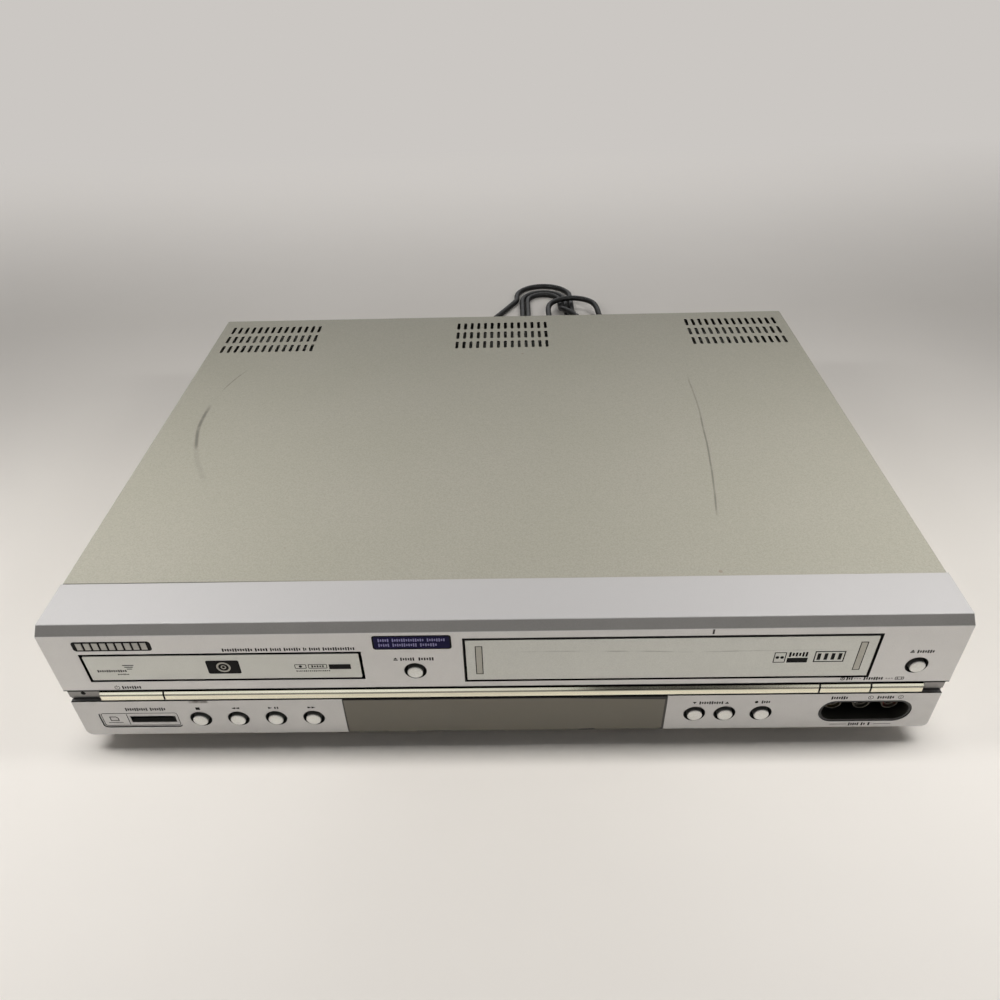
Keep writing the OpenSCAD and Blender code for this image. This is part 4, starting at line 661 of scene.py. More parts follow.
def button_caps(colours):
    """Bright caps with a frosted, faintly hammered face, and painted shade on their rim and their skirt."""
    coat = Coat("button_silver", 0.3, 0.2, 0.3)
    dimple = coat.noise(1600)
    coat.colour(coat.grained(dimple, colours.cap, 0.94, 1.06, (0.35, 0.65)))
    # Painted shade around the caps' edges.
    coat.lay(ink(70, 66, 60), coat.edges(0.9), 0.8)
    # Painted shade on the caps' skirts, behind their faces.
    divide = (coat.z, TOP, -46, -45)
    upper = coat.both(coat.ramp(*divide), coat.ramp(coat.y, UPPER_FACE, -0.95, -0.75))
    lower = coat.both(coat.ramp(*divide, 1.0, 0.0), coat.ramp(coat.y, LOWER_FACE, -0.95, -0.75))
    coat.lay(ink(58, 56, 52), coat.either(upper, lower), 0.85)
    coat.rough(coat.drift(0.34, 0.42, 600))
    coat.relief(dimple, 0.006 * MM)
    return coat


def cord_sheath(colours):
    """Soft black vinyl with a fine grain and dust."""
    coat = Coat("cord_black", 0.42, 0.0, 0.2)
    coat.set("Specular IOR Level", 0.35)
    coat.colour(coat.mottle(colours.cord, 0.2, 300))
    coat.lay(ink(62, 60, 56), coat.drift(0.0, 0.25, 120, 4, rise=(0.5, 0.8)))
    coat.rough(coat.drift(0.34, 0.52, 260, 3))
    coat.relief(coat.noise(1800), 0.02 * MM)
    return coat


def cord_plug(colours):
    """Moulded vinyl with bright blades."""
    coat = Coat("plug_black", 0.45, 0.0, 0.3)
    blades = coat.ramp(coat.y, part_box("power_plug")[0][1], 16.9, 17.1, 1.0, 0.0)
    coat.colour(coat.mottle(colours.cord, 0.2, 300))
    coat.lay(ink(204, 202, 194), blades)
    coat.metal(blades)
    coat.rough(coat.drift(0.3, 0.48, 500, 3))
    coat.relief(coat.noise(1500), 0.02 * MM)
    return coat


def card_frame(colours):
    """The card slot's silver frame, with painted shade in the slot: black deep in, paler grey on the floor of
    its mouth.
    """
    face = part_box("card_slot")[0][1]
    coat = Coat("card_frame", 0.38, 0.75, 0.2)
    coat.colour(coat.mottle(shade(colours.silver, 0.86), 0.05, 300))
    # Painted shade inside the slot, paler on its floor near the mouth where light reaches.
    throat = coat.ramp(coat.y, face, 0.15, 0.3)
    lip = coat.both(coat.ramp(coat.y, face, 2.6, 2.9, 1.0, 0.0),
                    coat.ramp(coat.z, TOP, -65.2, -65.1, 1.0, 0.0))
    coat.lay(coat.tint(lip, ink(9, 9, 9), ink(120, 118, 112)), throat)
    coat.metal(coat.span(throat, 0.0, 1.0, 0.75, 0.0))
    coat.rough(coat.drift(0.34, 0.46, 400))
    coat.relief(coat.noise(1600), 0.015 * MM)
    return coat


def jack_cup():
    """The oval cup of the front jacks, with painted shade: dark at its rim, grey in its mouth, black in its
    depth.
    """
    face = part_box("jack_recess")[0][1]
    coat = Coat("jack_cup", 0.42, 0.0, 0.3)
    # Painted shade: darker deeper in the cup, and dark at its rim.
    coat.colour(coat.tint(coat.ramp(coat.y, face, 0.6, 8), ink(54, 53, 48), ink(8, 8, 8)))
    coat.lay(ink(20, 20, 20), coat.ramp(coat.y, face, 0.12, 0.2, 1.0, 0.0))
    coat.rough(coat.drift(0.36, 0.5, 400))
    coat.relief(coat.noise(1400), 0.02 * MM)
    return coat


def coil_wrap():
    """A copper winding, from brown between its turns to amber on them."""
    coat = Coat("coil_copper", 0.35, 0.0, 0.15)
    turns = coat.add("ShaderNodeTexWave", bands_direction="Z")
    turns.inputs["Scale"].default_value = 380
    turns.inputs["Distortion"].default_value = 0.4
    coat.wire(coat.place, turns.inputs["Vector"])
    wound = turns.outputs["Fac"]
    coat.colour(coat.tint(wound, ink(92, 58, 28), ink(206, 156, 62)))
    coat.metal(coat.span(wound, 0.3, 0.8, 0.1, 0.7))
    coat.relief(wound, 0.1 * MM)
    return coat


# Slot, colour, roughness, and how much the lines are drawn together along X, Y and Z.
SHEET_METALS = (
    ("sheet_steel", (176, 178, 180), 0.38, (1, 12, 1)),
    ("screw_steel", (150, 148, 144), 0.3, (6, 1, 6)),
    ("polished_steel", (214, 214, 216), 0.14, (1, 0.1, 1)),
    ("drum_aluminium", (204, 205, 208), 0.24, (1, 1, 14)),
    ("jack_metal", (206, 192, 150), 0.28, (1, 0.2, 1)),
    ("dim_nickel", (118, 114, 106), 0.36, (1, 0.2, 1)),
    ("guide_brass", (200, 168, 96), 0.22, (1, 1, 8)),
)

# Slot, colour, roughness, grains to the metre, their depth in mm, spread of the colour, metallic.
MOULDINGS = (
    ("rear_paint", (150, 149, 142), 0.5, 1500, 0.04, 0.05, 0.2),
    ("foot_rubber", (52, 51, 50), 0.72, 1200, 0.08),
    ("display_black", (26, 28, 28), 0.3, 700, 0.01),
    ("dark_plastic", (40, 40, 42), 0.48, 1100, 0.04),
    ("white_plastic", (214, 213, 206), 0.4, 1300, 0.02),
    ("tray_plastic", (66, 66, 68), 0.42, 1500, 0.05),
    ("cast_grey", (118, 119, 122), 0.5, 700, 0.1, 0.1, 0.5),
    ("black_rubber", (32, 32, 32), 0.66, 1600, 0.05),
    ("mark_silver", (186, 184, 178), 0.4, 2500, 0.01, 0.06, 0.3),
    ("groove_grey", (176, 174, 165), 0.4, 1800, 0.02, 0.08, 0.7),
    ("sticker_pale", (150, 146, 196), 0.5, 1800, 0.01, 0.1),
    ("yellow_ring", (214, 178, 44), 0.4),
    ("white_ring", (218, 216, 208), 0.4),
    ("red_ring", (186, 40, 38), 0.4),
    ("green_ring", (52, 130, 74), 0.4),
    ("blue_ring", (44, 78, 150), 0.4),
    ("rear_print", (206, 204, 196), 0.6, 2200, 0.01, 0.06),
)


def build_coats(scene):
    """Every finish of the part, by slot name."""
    colours = scene.player_colours
    wear = scene.player_wear
    coats = [cover_paint(colours, wear), fascia_paint(colours, wear), door_paint(colours, wear),
             chrome(colours), smoked_window(colours), button_caps(colours), cord_sheath(colours),
             cord_plug(colours), card_frame(colours), jack_cup(), coil_wrap()]
    coats += [sheet_metal(name, ink(*colour), *rest) for name, colour, *rest in SHEET_METALS]
    coats += [moulded(name, ink(*colour), *rest) for name, colour, *rest in MOULDINGS]
    coats += [printed_board("green_board", ink(30, 74, 44), ink(64, 112, 62)),
              printed_board("tan_board", ink(168, 128, 76), ink(190, 158, 104)),
              matt_ink("print_ink", colours.print_ink),
              matt_ink("sticker_navy", colours.sticker)]
    return {coat.name: coat.material for coat in coats}


# Every finish by its slot name, filled when the finishes are made.
COATS = {}

# Each group's nodes, by the finish that they take.
FINISHES = {
    "cord": {"cord_black": ["cord_bush"], "plug_black": ["power_plug"]},
    "cabinet": {
        "cover_paint": ["top_cover"], "sheet_steel": ["bottom_chassis"], "rear_paint": ["rear_panel"],
        "screw_steel": ["cover_screws"], "foot_rubber": ["feet"]},
    "front": {
        "silver_plastic": ["front_fascia"],
        "door_silver": ["tray_door", "cassette_door"],
        "trim_chrome": ["trim_strip", "power_button", "dvd_select_button", "vcr_select_button"],
        "button_silver": [
            "open_close_button", "eject_button", "stop_button", "rewind_button", "play_pause_button",
            "fast_forward_button", "channel_down_button", "channel_up_button", "record_button"],
        "smoked_window": ["display_window"], "display_black": ["display_module"],
        "card_frame": ["card_slot"], "jack_cup": ["jack_recess"], "dim_nickel": ["front_jacks"]},
    "boards": {
        "green_board": ["control_board", "main_board"], "tan_board": ["power_board"],
        "coil_copper": ["transformer"], "sheet_steel": ["tuner_module"],
        "dark_plastic": ["rear_jack_block"], "jack_metal": ["rear_jacks"]},
    "disc_drive": {
        "dark_plastic": ["loader_frame", "pickup_sled", "turntable"],
        "sheet_steel": ["clamper_bridge"], "white_plastic": ["disc_clamper", "tray_gear"],
        "tray_plastic": ["disc_tray"], "cast_grey": ["traverse_frame"],
        "polished_steel": ["guide_rods", "lead_screw"]},
    "tape_drive": {
        "sheet_steel": ["deck_plate", "pinch_arm", "carriage_slider", "cassette_holder"],
        "drum_aluminium": ["drum_base", "head_drum_rotor"], "polished_steel": ["tape_heads", "capstan"],
        "black_rubber": ["pinch_roller"], "tray_plastic": ["supply_reel", "take_up_reel"],
        "guide_brass": ["supply_guide", "take_up_guide"]},
}


def finish_nodes(group):
    """Puts each CAD node's finish on it, for a group of nodes."""
    for coat, nodes in FINISHES[group].items():
        for node in nodes:
            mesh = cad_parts[node].data
            mesh.materials.clear()
            mesh.materials.append(COATS[coat])


# ---- Building pieces ----


def new_piece(name, build, coat, body):
    """Makes a closed mesh an object in the part's frame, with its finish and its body."""
    bmesh.ops.recalc_face_normals(build, faces=build.faces)
    mesh = bpy.data.meshes.new(name)
    build.to_mesh(mesh)
    build.free()
    mesh.materials.append(COATS[coat])
    piece = bpy.data.objects.new(name, mesh)
    bpy.context.scene.collection.objects.link(piece)
    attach(piece, body)


def loop(build, outline, depth):
    """Points along an outline in mm, at a depth in metres."""
    return [build.verts.new((x * MM, depth, z * MM)) for x, z in outline]


def walls(build, *loops):
    """Walls from each loop of points to the next."""
    for one, two in zip(loops, loops[1:]):
        for k in range(len(one)):
            build.faces.new((one[k - 1], one[k], two[k], two[k - 1]))


def printed(name, shapes, face, coat, body, outward=-1):
    """Thin printed shapes on a front or rear face. Shapes are in mm: x, and height above the floor."""
    build = bmesh.new()
    near = face + outward * INK_PROUD
    far = near - outward * INK_DEPTH
    for shape in shapes:
        if isinstance(shape, tuple):
            outer, inner = shape
            rim = loop(build, outer, near)
            walls(build, rim, loop(build, inner, near), loop(build, inner, far), loop(build, outer, far), rim)
        else:
            front, back = loop(build, shape, near), loop(build, shape, far)
            build.faces.new(front)
            build.faces.new(reversed(back))
            walls(build, back, front)
    new_piece(name, build, coat, body)


def dark_print(name, shapes, face, body="chassis"):
    """Shapes printed in dark ink."""
    printed(name, shapes, face, "print_ink", body)


def turned(name, x, z, face, profile, coat, steps=40):
    """A ring turned about an axis along Y, from pairs of depth behind a face and radius, in mm."""
    build = bmesh.new()
    loops = [loop(build, circle_outline(x, z, radius, steps), face + depth * MM) for depth, radius in profile]
    walls(build, *loops, loops[0])
    new_piece(name, build, coat, "chassis")


def box_outline(x, z, width, height):
    """A rectangle."""
    w, h = width / 2, height / 2
    return [(x - w, z - h), (x + w, z - h), (x + w, z + h), (x - w, z + h)]


def round_outline(x, z, width, height, radius):
    """A rectangle with rounded corners."""
    points = []
    for quarter, (sx, sz) in enumerate(((1, 1), (-1, 1), (-1, -1), (1, -1))):
        for k in range(CORNER_STEPS + 1):
            angle = math.radians(90 * (quarter + k / CORNER_STEPS))
            points.append((x + sx * (width / 2 - radius) + radius * math.cos(angle),
                           z + sz * (height / 2 - radius) + radius * math.sin(angle)))
    return points


def circle_outline(x, z, radius, steps=28):
    """A circle."""
    turns = [math.tau * k / steps for k in range(steps)]
    return [(x + radius * math.cos(a), z + radius * math.sin(a)) for a in turns]


def arc_outline(x, z, radius, width, start, end):
    """A curved bar between two angles in degrees."""
    turns = [math.radians(start + (end - start) * k / ARC_STEPS) for k in range(ARC_STEPS + 1)]
    outer, inner = ([(x + r * math.cos(a), z + r * math.sin(a)) for a in turns]
                    for r in (radius + width / 2, radius - width / 2))
    return outer + inner[::-1]


def triangle_outline(x, z, width, height, way):
    """A triangle that points left, right, up or down."""
    w, h = width / 2, height / 2
    return {
        "right": [(x - w, z - h), (x + w, z), (x - w, z + h)],
        "left": [(x + w, z + h), (x - w, z), (x + w, z - h)],
        "up": [(x - w, z - h), (x + w, z - h), (x, z + h)],
        "down": [(x - w, z + h), (x, z - h), (x + w, z + h)],
    }[way]


def frame_outline(x, z, width, height, line, radius=0.0):
    """Outer and inner outlines of a thin frame."""
    inner = (x, z, width - 2 * line, height - 2 * line)
    if radius:
        return round_outline(x, z, width, height, radius), round_outline(*inner, max(radius - line, 0.05))
    return box_outline(x, z, width, height), box_outline(*inner)


def ring_outline(x, z, radius, line):
    """Outer and inner outlines of a thin ring."""
    return circle_outline(x, z, radius), circle_outline(x, z, radius - line)


def up(drop_below_top):
    """Height above the floor, in mm, of a drop from the top."""
    return TOP / MM - drop_below_top


# ---- Power cord ----

RUN_POINTS = [
    (150, 188.2, 37), (150, 206, 31), (149, 224, 20), (146, 242, 9.5), (139, 259, 4.2),
    (128, 274, 2.9), (116, 288, 2.8), (106, 302, 3.2), (99, 317, 5), (95, 331, 7.4),
    (93.5, 345, 8.9), (90.2, 357.3, 9.4), (81.3, 366.2, 9.4), (69, 369.5, 9.4), (56.8, 366.2, 9.4),
    (47.8, 357.3, 9.4), (44.5, 345, 9.4), (44.5, 330, 9.4), (44.5, 315, 9.4), (44.5, 300, 9.4),
    (44.5, 285, 9.4), (44.5, 270, 9.3), (47.6, 257.8, 7.6), (56.5, 248.8, 5), (68.5, 245.5, 3.3),
    (80.5, 248.8, 2.8), (89.3, 257.8, 2.8), (92, 270, 2.8), (91, 283, 2.8), (88, 296, 2.8),
    (82.5, 309, 3), (77.2, 319, 5), (72.6, 327, 7.8),
]
CROSSING_POINTS = [(68.8, 333, 8.8), (64.8, 339, 8.8), (60.8, 345, 8.2), (58.2, 351, 6.6), (57.8, 358, 4.3)]
TAIL_POINTS = [
    (12.5, 380, 2.9), (4, 363, 2.8), (-5, 346, 2.8), (-15, 328, 2.8), (-24, 309, 2.8), (-30, 289, 2.8),
    (-34, 268, 2.8), (-41, 248, 2.8), (-54, 232, 2.8), (-73, 225, 2.8), (-93, 230, 2.8), (-107, 244, 2.8),
    (-114, 259, 2.8), (-117.5, 274, 2.8), (-122, 287, 2.8), (-130, 296.5, 2.8), (-143, 301, 2.9),
    (-156, 297, 3.4), (-166, 286.5, 4.6), (-170.5, 272, 6.6), (-171, 252, 8),
]


def hank_points(cord):
    """Three flat turns side by side, from the innermost outwards, in metres."""
    points = []

    def bend(x, y, radius, half):
        for k in range(HANK_STEPS + 1):
            angle = math.pi * (half + k / HANK_STEPS)
            points.append((x + radius * math.cos(angle), y + radius * math.sin(angle), FLOOR_REST))

    def straight(x, start, end):
        for share in (0.25, 0.5, 0.75):
            points.append((x, start + share * (end - start), FLOOR_REST))

    near_x = cord.hank_x + cord.turn_pitch / 2
    for turn in range(HANK_TURNS):
        last = turn == HANK_TURNS - 1
        far_radius = cord.inner_radius + turn * cord.turn_pitch
        far_y = cord.leg_far + (2 * cord.turn_pitch if last else 0)
        bend(cord.hank_x, far_y, far_radius, 0)
        if not last:
            near_radius = far_radius + cord.turn_pitch / 2
            straight(cord.hank_x - far_radius, far_y, cord.leg_near)
            bend(near_x, cord.leg_near, near_radius, 1)
            straight(near_x + near_radius, cord.leg_near, cord.leg_far)
    return points


def smooth_route(points):
    """Evenly close points along a smooth curve through the given ones."""
    path = [Vector(p) for p in points]
    path = [path[0] * 2 - path[1], *path, path[-1] * 2 - path[-2]]
    route = []
    for a, b, c, d in zip(path, path[1:], path[2:], path[3:]):
        pieces = max(1, round((c - b).length / ROUTE_STEP))
        for k in range(pieces):
            t = k / pieces
            route.append(0.5 * ((2 * b) + (c - a) * t + (2 * a - 5 * b + 4 * c - d) * t**2
                                + (3 * b - a - 3 * c + d) * t**3))
    route.append(path[-2])
    return route


def lay_cord(scene):
    """The mains cord, from the bush at the back to the plug, with its spare length in a hank."""
    cord = scene.player_cord
    by_hand = [Vector(p) * MM for p in RUN_POINTS + CROSSING_POINTS]
    route = smooth_route([*by_hand, *hank_points(cord), *[Vector(p) * MM for p in TAIL_POINTS]])
    curve = bpy.data.curves.new("power_cord", "CURVE")
    curve.dimensions = "3D"
    curve.bevel_depth = cord.diameter / 2
    curve.bevel_resolution = 4
    curve.use_fill_caps = True
    line = curve.splines.new("POLY")
    line.points.add(len(route) - 1)
    for point, place in zip(line.points, route):
        point.co = (*place, 1.0)
    curve.materials.append(COATS["cord_black"])
    piece = bpy.data.objects.new("power_cord", curve)
    scene.collection.objects.link(piece)
    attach(piece, "chassis")
    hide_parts("power_cord_run", "power_cord_hank")


# ---- Printed marks on the front ----


def caption(x, drop_below_top, widths, gap=0.95, height=2.2, pitch=1.2):
    """Groups of short upright strokes that stand in for a caption."""
    shapes = []
    for width in widths:
        count = max(1, round(width / pitch))
        each = width / count
        for k in range(count):
            tall = height * STROKE_HEIGHTS[k % len(STROKE_HEIGHTS)]
            shapes.append(box_outline(x + (k + 0.5) * each, up(drop_below_top), each * STROKE_SHARE, tall))
        x += width + gap
    return shapes


def captions(*rows):
    """The shapes of several captions."""
    return [shape for row in rows for shape in caption(*row)]


def upper_marks():
    """Marks printed on the upper face."""
    shapes = [arc_outline(-187.6, up(40), 1.2, 0.3, 120, 420), box_outline(-187.6, up(39.2), 0.3, 1.6)]
    for x, tip in ((-49.6, 21.4), (191.6, 20.2)):
        shapes += [triangle_outline(x, up(tip), 2, 1.2, "up"), box_outline(x, up(tip + 1.2), 2, 0.45)]
    return shapes + captions((-130.4, 14.2, (14.6, 6.2, 5.4, 8.2, 1.8, 5.4, 15.2)), (-185.4, 40, (9.6,)),
                             (-47.6, 21.9, (7, 7.6), 1.6), (193.6, 20.8, (8.2,)))


def select_marks():
    """The disc sign, the row of dashes and the cassette sign above the select keys."""
    row = up(39.4)
    shapes = [ring_outline(163.6, row, 1.1, 0.35), frame_outline(190.6, row, 4.2, 2, 0.3, 0.4)]
    dots = ((163.6, 0.35), (189.6, 0.4), (191.6, 0.4))
    shapes += [circle_outline(x, row, radius, 10) for x, radius in dots]
    shapes += [box_outline(x, row, 0.8, 0.3) for x in (169.3, 170.6, 171.9, 184.4, 185.7, 187)]
    return shapes + captions((165.2, 39.4, (3.3,)), (173.4, 39.4, (9.4,)))


def lower_marks():
    """Signs printed on the lower face, above the keys and sockets."""
    stop, rewind, play, forward = (-151.6 + 19 * k for k in range(4))
    row, arrows = up(54.7), up(54.4)
    shapes = [box_outline(stop + 0.2, row, 2.1, 1.9), triangle_outline(play - 1.6, row, 2, 1.5, "right"),
              box_outline(play + 0.8, row, 0.7, 1.5), box_outline(play + 2.1, row, 0.7, 1.5)]
    for x, way in ((rewind, "left"), (forward, "right")):
        shapes += [triangle_outline(x + s, row, 1.9, 1.4, way) for s in (-1, 1)]
    shapes += [triangle_outline(94.5, arrows, 2, 1.5, "down"), triangle_outline(110.4, arrows, 2, 1.5, "up"),
               circle_outline(124.7, up(54.2), 0.85)]
    for x, bar, height in ((179.6, 179.4, up(51.6)), (194, 194, up(51.5))):
        shapes += [ring_outline(x, height, 1.3, 0.25), box_outline(bar, height, 0.25, 1.2)]
    shapes += [box_outline(168.2, up(72.1), 8.2, 0.22), box_outline(190.1, up(72.1), 8.7, 0.22)]
    return shapes + captions(
        (96.6, 54.4, (12,)), (127, 54.2, (4.4,)), (-187.9, 54.8, (11.4, 8), 1, 2.4),
        (160.4, 51.7, (8.2,)), (182.6, 51.6, (8.3,)), (173.2, 72.1, (5.4, 2.4, 1.4), 0.9))


def blank_badge():
    """A raised blank badge: a dark round-cornered plate under pale ribs."""
    x, z = -181.3, up(10.8)
    dark_print("badge_rim", [round_outline(x, z, 37.2, 6.3, 1.6)], UPPER_FACE)
    ribs = [box_outline(x - 15.2 + k * 3.8, z, 2.7, 4.4) for k in range(9)]
    printed("badge_ribs", ribs, UPPER_FACE - 0.12 * MM, "mark_silver", "chassis")


def round_sticker():
    """A navy sticker with two rows of pale stripes."""
    x, z = -41, up(10.5)
    dark_print("sticker_rim", [(round_outline(x, z, 36.8, 9.2, 1.4), round_outline(x, z, 35.2, 7.6, 0.8))],
               UPPER_FACE)
    printed("sticker_ground", [round_outline(x, z, 35.6, 8, 0.9)], UPPER_FACE + 0.01 * MM, "sticker_navy",
            "chassis")
    stripes = captions((x - 15.8, 8.9, (5.4, 15, 8.6), 1.2, 2.1, 1.1),
                       (x - 15.8, 12.1, (5.4, 11.6, 8.2), 1.2, 2.1, 1.1))
    printed("sticker_stripes", stripes, UPPER_FACE - 0.06 * MM, "sticker_pale", "chassis")


def tray_marks():
    """Marks on the tray's front: three plain lines, a dark plate with a round disc, and small frames."""
    signs = [box_outline(-177.6, up(24 + 1.3 * k), 5.4 - 1.4 * k, 0.5) for k in range(3)]
    signs += [frame_outline(x, up(26.2), width, 3, 0.35, 0.4) for x, width in ((-95.4, 5.6), (-87.2, 9))]
    signs += [box_outline(-76.6, up(26.6), 10.4, 3.4), circle_outline(-95.4, up(26.2), 0.8, 14)]
    signs += captions((-193.6, 27.9, (14.4,), 1, 1.7, 1.1), (-184.4, 30.4, (5.6,), 1, 0.9, 0.7),
                      (-98, 29.4, (16.5,), 0.9, 0.9, 0.9), (-90.4, 26.2, (6.4,), 0.5, 1.5))
    dark_print("tray_signs", signs, TRAY_FACE, "tray")
    x, z = -132.2, up(26)
    dark_print("disc_plate", [round_outline(x, z, 15.8, 9.2, 0.9)], TRAY_FACE, "tray")
    printed("disc_sign", [ring_outline(x, z, 3.4, 0.9), ring_outline(x, z, 1.3, 0.5)], TRAY_FACE - 0.06 * MM,
            "groove_grey", "tray")


def cassette_marks():
    """Marks on the cassette door: a frame with two dots, a frame of upright bars, and the finger grooves."""
    reels, bars = up(24), up(23.7)
    signs = [frame_outline(130.8, reels, 5.6, 7, 0.4), box_outline(139.2, up(26), 9.6, 3.2),
             frame_outline(153.9, bars, 14.2, 7.4, 0.55)]
    signs += [circle_outline(x, reels, 0.9, 14) for x in (129.7, 131.9)]
    signs += [box_outline(149 + k * 3.25, bars, 1.6, 4.4) for k in range(4)]
    signs += caption(134.6, 22, (9.2,), 1, 3.2, 1.5)
    dark_print("cassette_signs", signs, DOOR_FACE, "cassette_door")
    grooves = [(x, up(23.6)) for x in (-10.2, 168.2)]
    dark_print("groove_lines", [frame_outline(x, z, 3.5, 19.4, 0.35) for x, z in grooves], DOOR_FACE,
               "cassette_door")
    printed("groove_floors", [box_outline(x, z, 2.7, 18.6) for x, z in grooves], DOOR_FACE + 0.02 * MM,
            "groove_grey", "cassette_door")


def card_marks():
    """The card frame's raised line, card sign and divider."""
    x, z = -182.4, up(63.2)
    card = tuple([(x + dx, z + dz) for dx, dz in points] for points in (
        ((-15.6, -1), (-11.2, -1), (-11.2, 1.2), (-12.2, 2.2), (-15.6, 2.2)),
        ((-15.2, -0.6), (-11.6, -0.6), (-11.6, 1.05), (-12.35, 1.8), (-15.2, 1.8))))
    shapes = [frame_outline(x, z, 38.6, 9.8, 0.3, 1.4), box_outline(x - 6.4, z, 0.35, 8.2), card,
              box_outline(x - 13.4, z - 2.4, 7.4, 0.3)]
    dark_print("card_signs", shapes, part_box("card_slot")[0][1])


def front_prints():
    """All the marks on the front."""
    dark_print("upper_prints", upper_marks(), UPPER_FACE)
    dark_print("select_prints", select_marks(), UPPER_FACE)
    dark_print("lower_prints", lower_marks(), LOWER_FACE)
    blank_badge()
    round_sticker()
    tray_marks()
    cassette_marks()
    card_marks()


# ---- Details of the sockets and the back ----


def led_lens():
    """The small dark lens at the channel's left end."""
    profile = [(2.2, 0.02), (2.2, 1.4), (0.35, 1.4), (0.1, 1.1), (0, 0.35), (0, 0.02)]
    turned("standby_lens", -206, up(44.2), UPPER_FACE + 0.05 * MM, profile, "print_ink", 24)


def front_jack_rings():
    """Coloured rings deep inside the front jacks."""
    (left, face, low), (right, _, high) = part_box("front_jacks")
    middle, z = (left + right) / 2 / MM, (low + high) / 2 / MM
    pitch = (right - left) / 2 / MM - SLEEVE_RADIUS
    profile = [(0.3, 3.45), (0, 3.2), (0, 2.7), (0.2, 2.55), (2, 2.55), (2, 3.45)]
    for k, coat in enumerate(("yellow_ring", "white_ring", "red_ring")):
        turned(f"front_{coat}", middle + (k - 1) * pitch, z, face + 2.2 * MM, profile, coat)


# Height above the floor in mm, and the jacks' colours from left to right.
REAR_ROWS = (
    (52, ("green_ring", "blue_ring", "red_ring", "yellow_ring", "white_ring", "red_ring")),
    (35, ("yellow_ring", "white_ring", "red_ring", "yellow_ring", "white_ring", "red_ring")),
)


def rear_prints():
    """Coloured rings around the rear jacks, and white frames and captions around each group."""
    first, pitch = -165, 15
    rings = {}
    for height, coats in REAR_ROWS:
        for column, coat in enumerate(coats):
            rings.setdefault(coat, []).append(ring_outline(first + pitch * column, height, 6.9, 1.5))
    for coat, shapes in rings.items():
        printed(f"rear_{coat}s", shapes, REAR_FACE, coat, "chassis", 1)
    frames = [frame_outline(*place, 0.4, 2) for place in (
        (-150, 43.5, 44.6, 33.6), (-105, 43.5, 44.6, 33.6), (30, 39, 42, 22), (-71, 52, 19, 16))]
    for x, below, widths in ((-171, 21.5, (9, 14)), (-126, 21.5, (14, 9)), (18, 31, (8, 12)),
                             (-78, 21.5, (13,)), (140, 31, (7, 9))):
        frames += caption(x, below, widths, 1.6, 1.8)
    printed("rear_frames", frames, REAR_FACE, "rear_print", "chassis", 1)


# ---- Stage ----


def camera_view(scene):
    """The camera that looks down on the front."""
    stage = scene.player_stage
    lens = bpy.data.cameras.new("view_camera")
    lens.lens = stage.lens
    lens.sensor_width = 36
    lens.clip_start = 0.01
    camera = bpy.data.objects.new("view_camera", lens)
    camera.location = stage.camera_place
    camera.rotation_euler = stage.camera_turn
    scene.collection.objects.link(camera)
    scene.camera = camera


def soft_lamp(scene, name, place, aim, size, power, spread=180):
    """A large area lamp that points at a place, with its beam's width in degrees."""
    lamp = bpy.data.lights.new(name, "AREA")
    lamp.shape = "RECTANGLE"
    lamp.size, lamp.size_y = size
    lamp.energy = power
    lamp.spread = math.radians(spread)
    holder = bpy.data.objects.new(name, lamp)
    holder.location = place
    holder.rotation_euler = (Vector(aim) - Vector(place)).to_track_quat("-Z", "Y").to_euler()
    holder.visible_camera = False
    scene.collection.objects.link(holder)


def plain_floor(reach, coat):
    """A flat floor that reaches so far from the middle."""
    mesh = bpy.data.meshes.new("floor")
    corners = [(x * reach, y * reach, 0) for x, y in ((-1, -1), (1, -1), (1, 1), (-1, 1))]
    mesh.from_pydata(corners, [], [(0, 1, 2, 3)])
    mesh.materials.append(coat.material)
    board = bpy.data.objects.new("floor", mesh)
    bpy.context.scene.collection.objects.link(board)


def even_light(stage):
    """A world that is dim and even, and paler overhead where polished faces mirror it."""
    world = bpy.data.worlds.new("studio")
    world.use_nodes = True
    tree = world.node_tree
    new, wire = tree.nodes.new, tree.links.new
    background = tree.nodes["Background"]
    background.inputs["Color"].default_value = (1, 1, 1, 1)
    way = new("ShaderNodeSeparateXYZ")
    wire(new("ShaderNodeTexCoord").outputs["Generated"], way.inputs[0])
    rise = new("ShaderNodeMapRange")
    for key, value in (("From Min", 0.2), ("From Max", 0.5), ("To Min", stage.ambient),
                       ("To Max", stage.mirrored)):
        rise.inputs[key].default_value = value
    wire(way.outputs["Z"], rise.inputs["Value"])
    mirrored, seen = new("ShaderNodeMix"), new("ShaderNodeMix")
    mirrored.inputs["A"].default_value = stage.ambient
    seen.inputs["B"].default_value = stage.backdrop[1]
    rays = new("ShaderNodeLightPath")
    wire(rays.outputs["Is Glossy Ray"], mirrored.inputs["Factor"])
    wire(rays.outputs["Is Camera Ray"], seen.inputs["Factor"])
    wire(rise.outputs["Result"], mirrored.inputs["B"])
    wire(mirrored.outputs["Result"], seen.inputs["A"])
    wire(seen.outputs["Result"], background.inputs["Strength"])
    return world


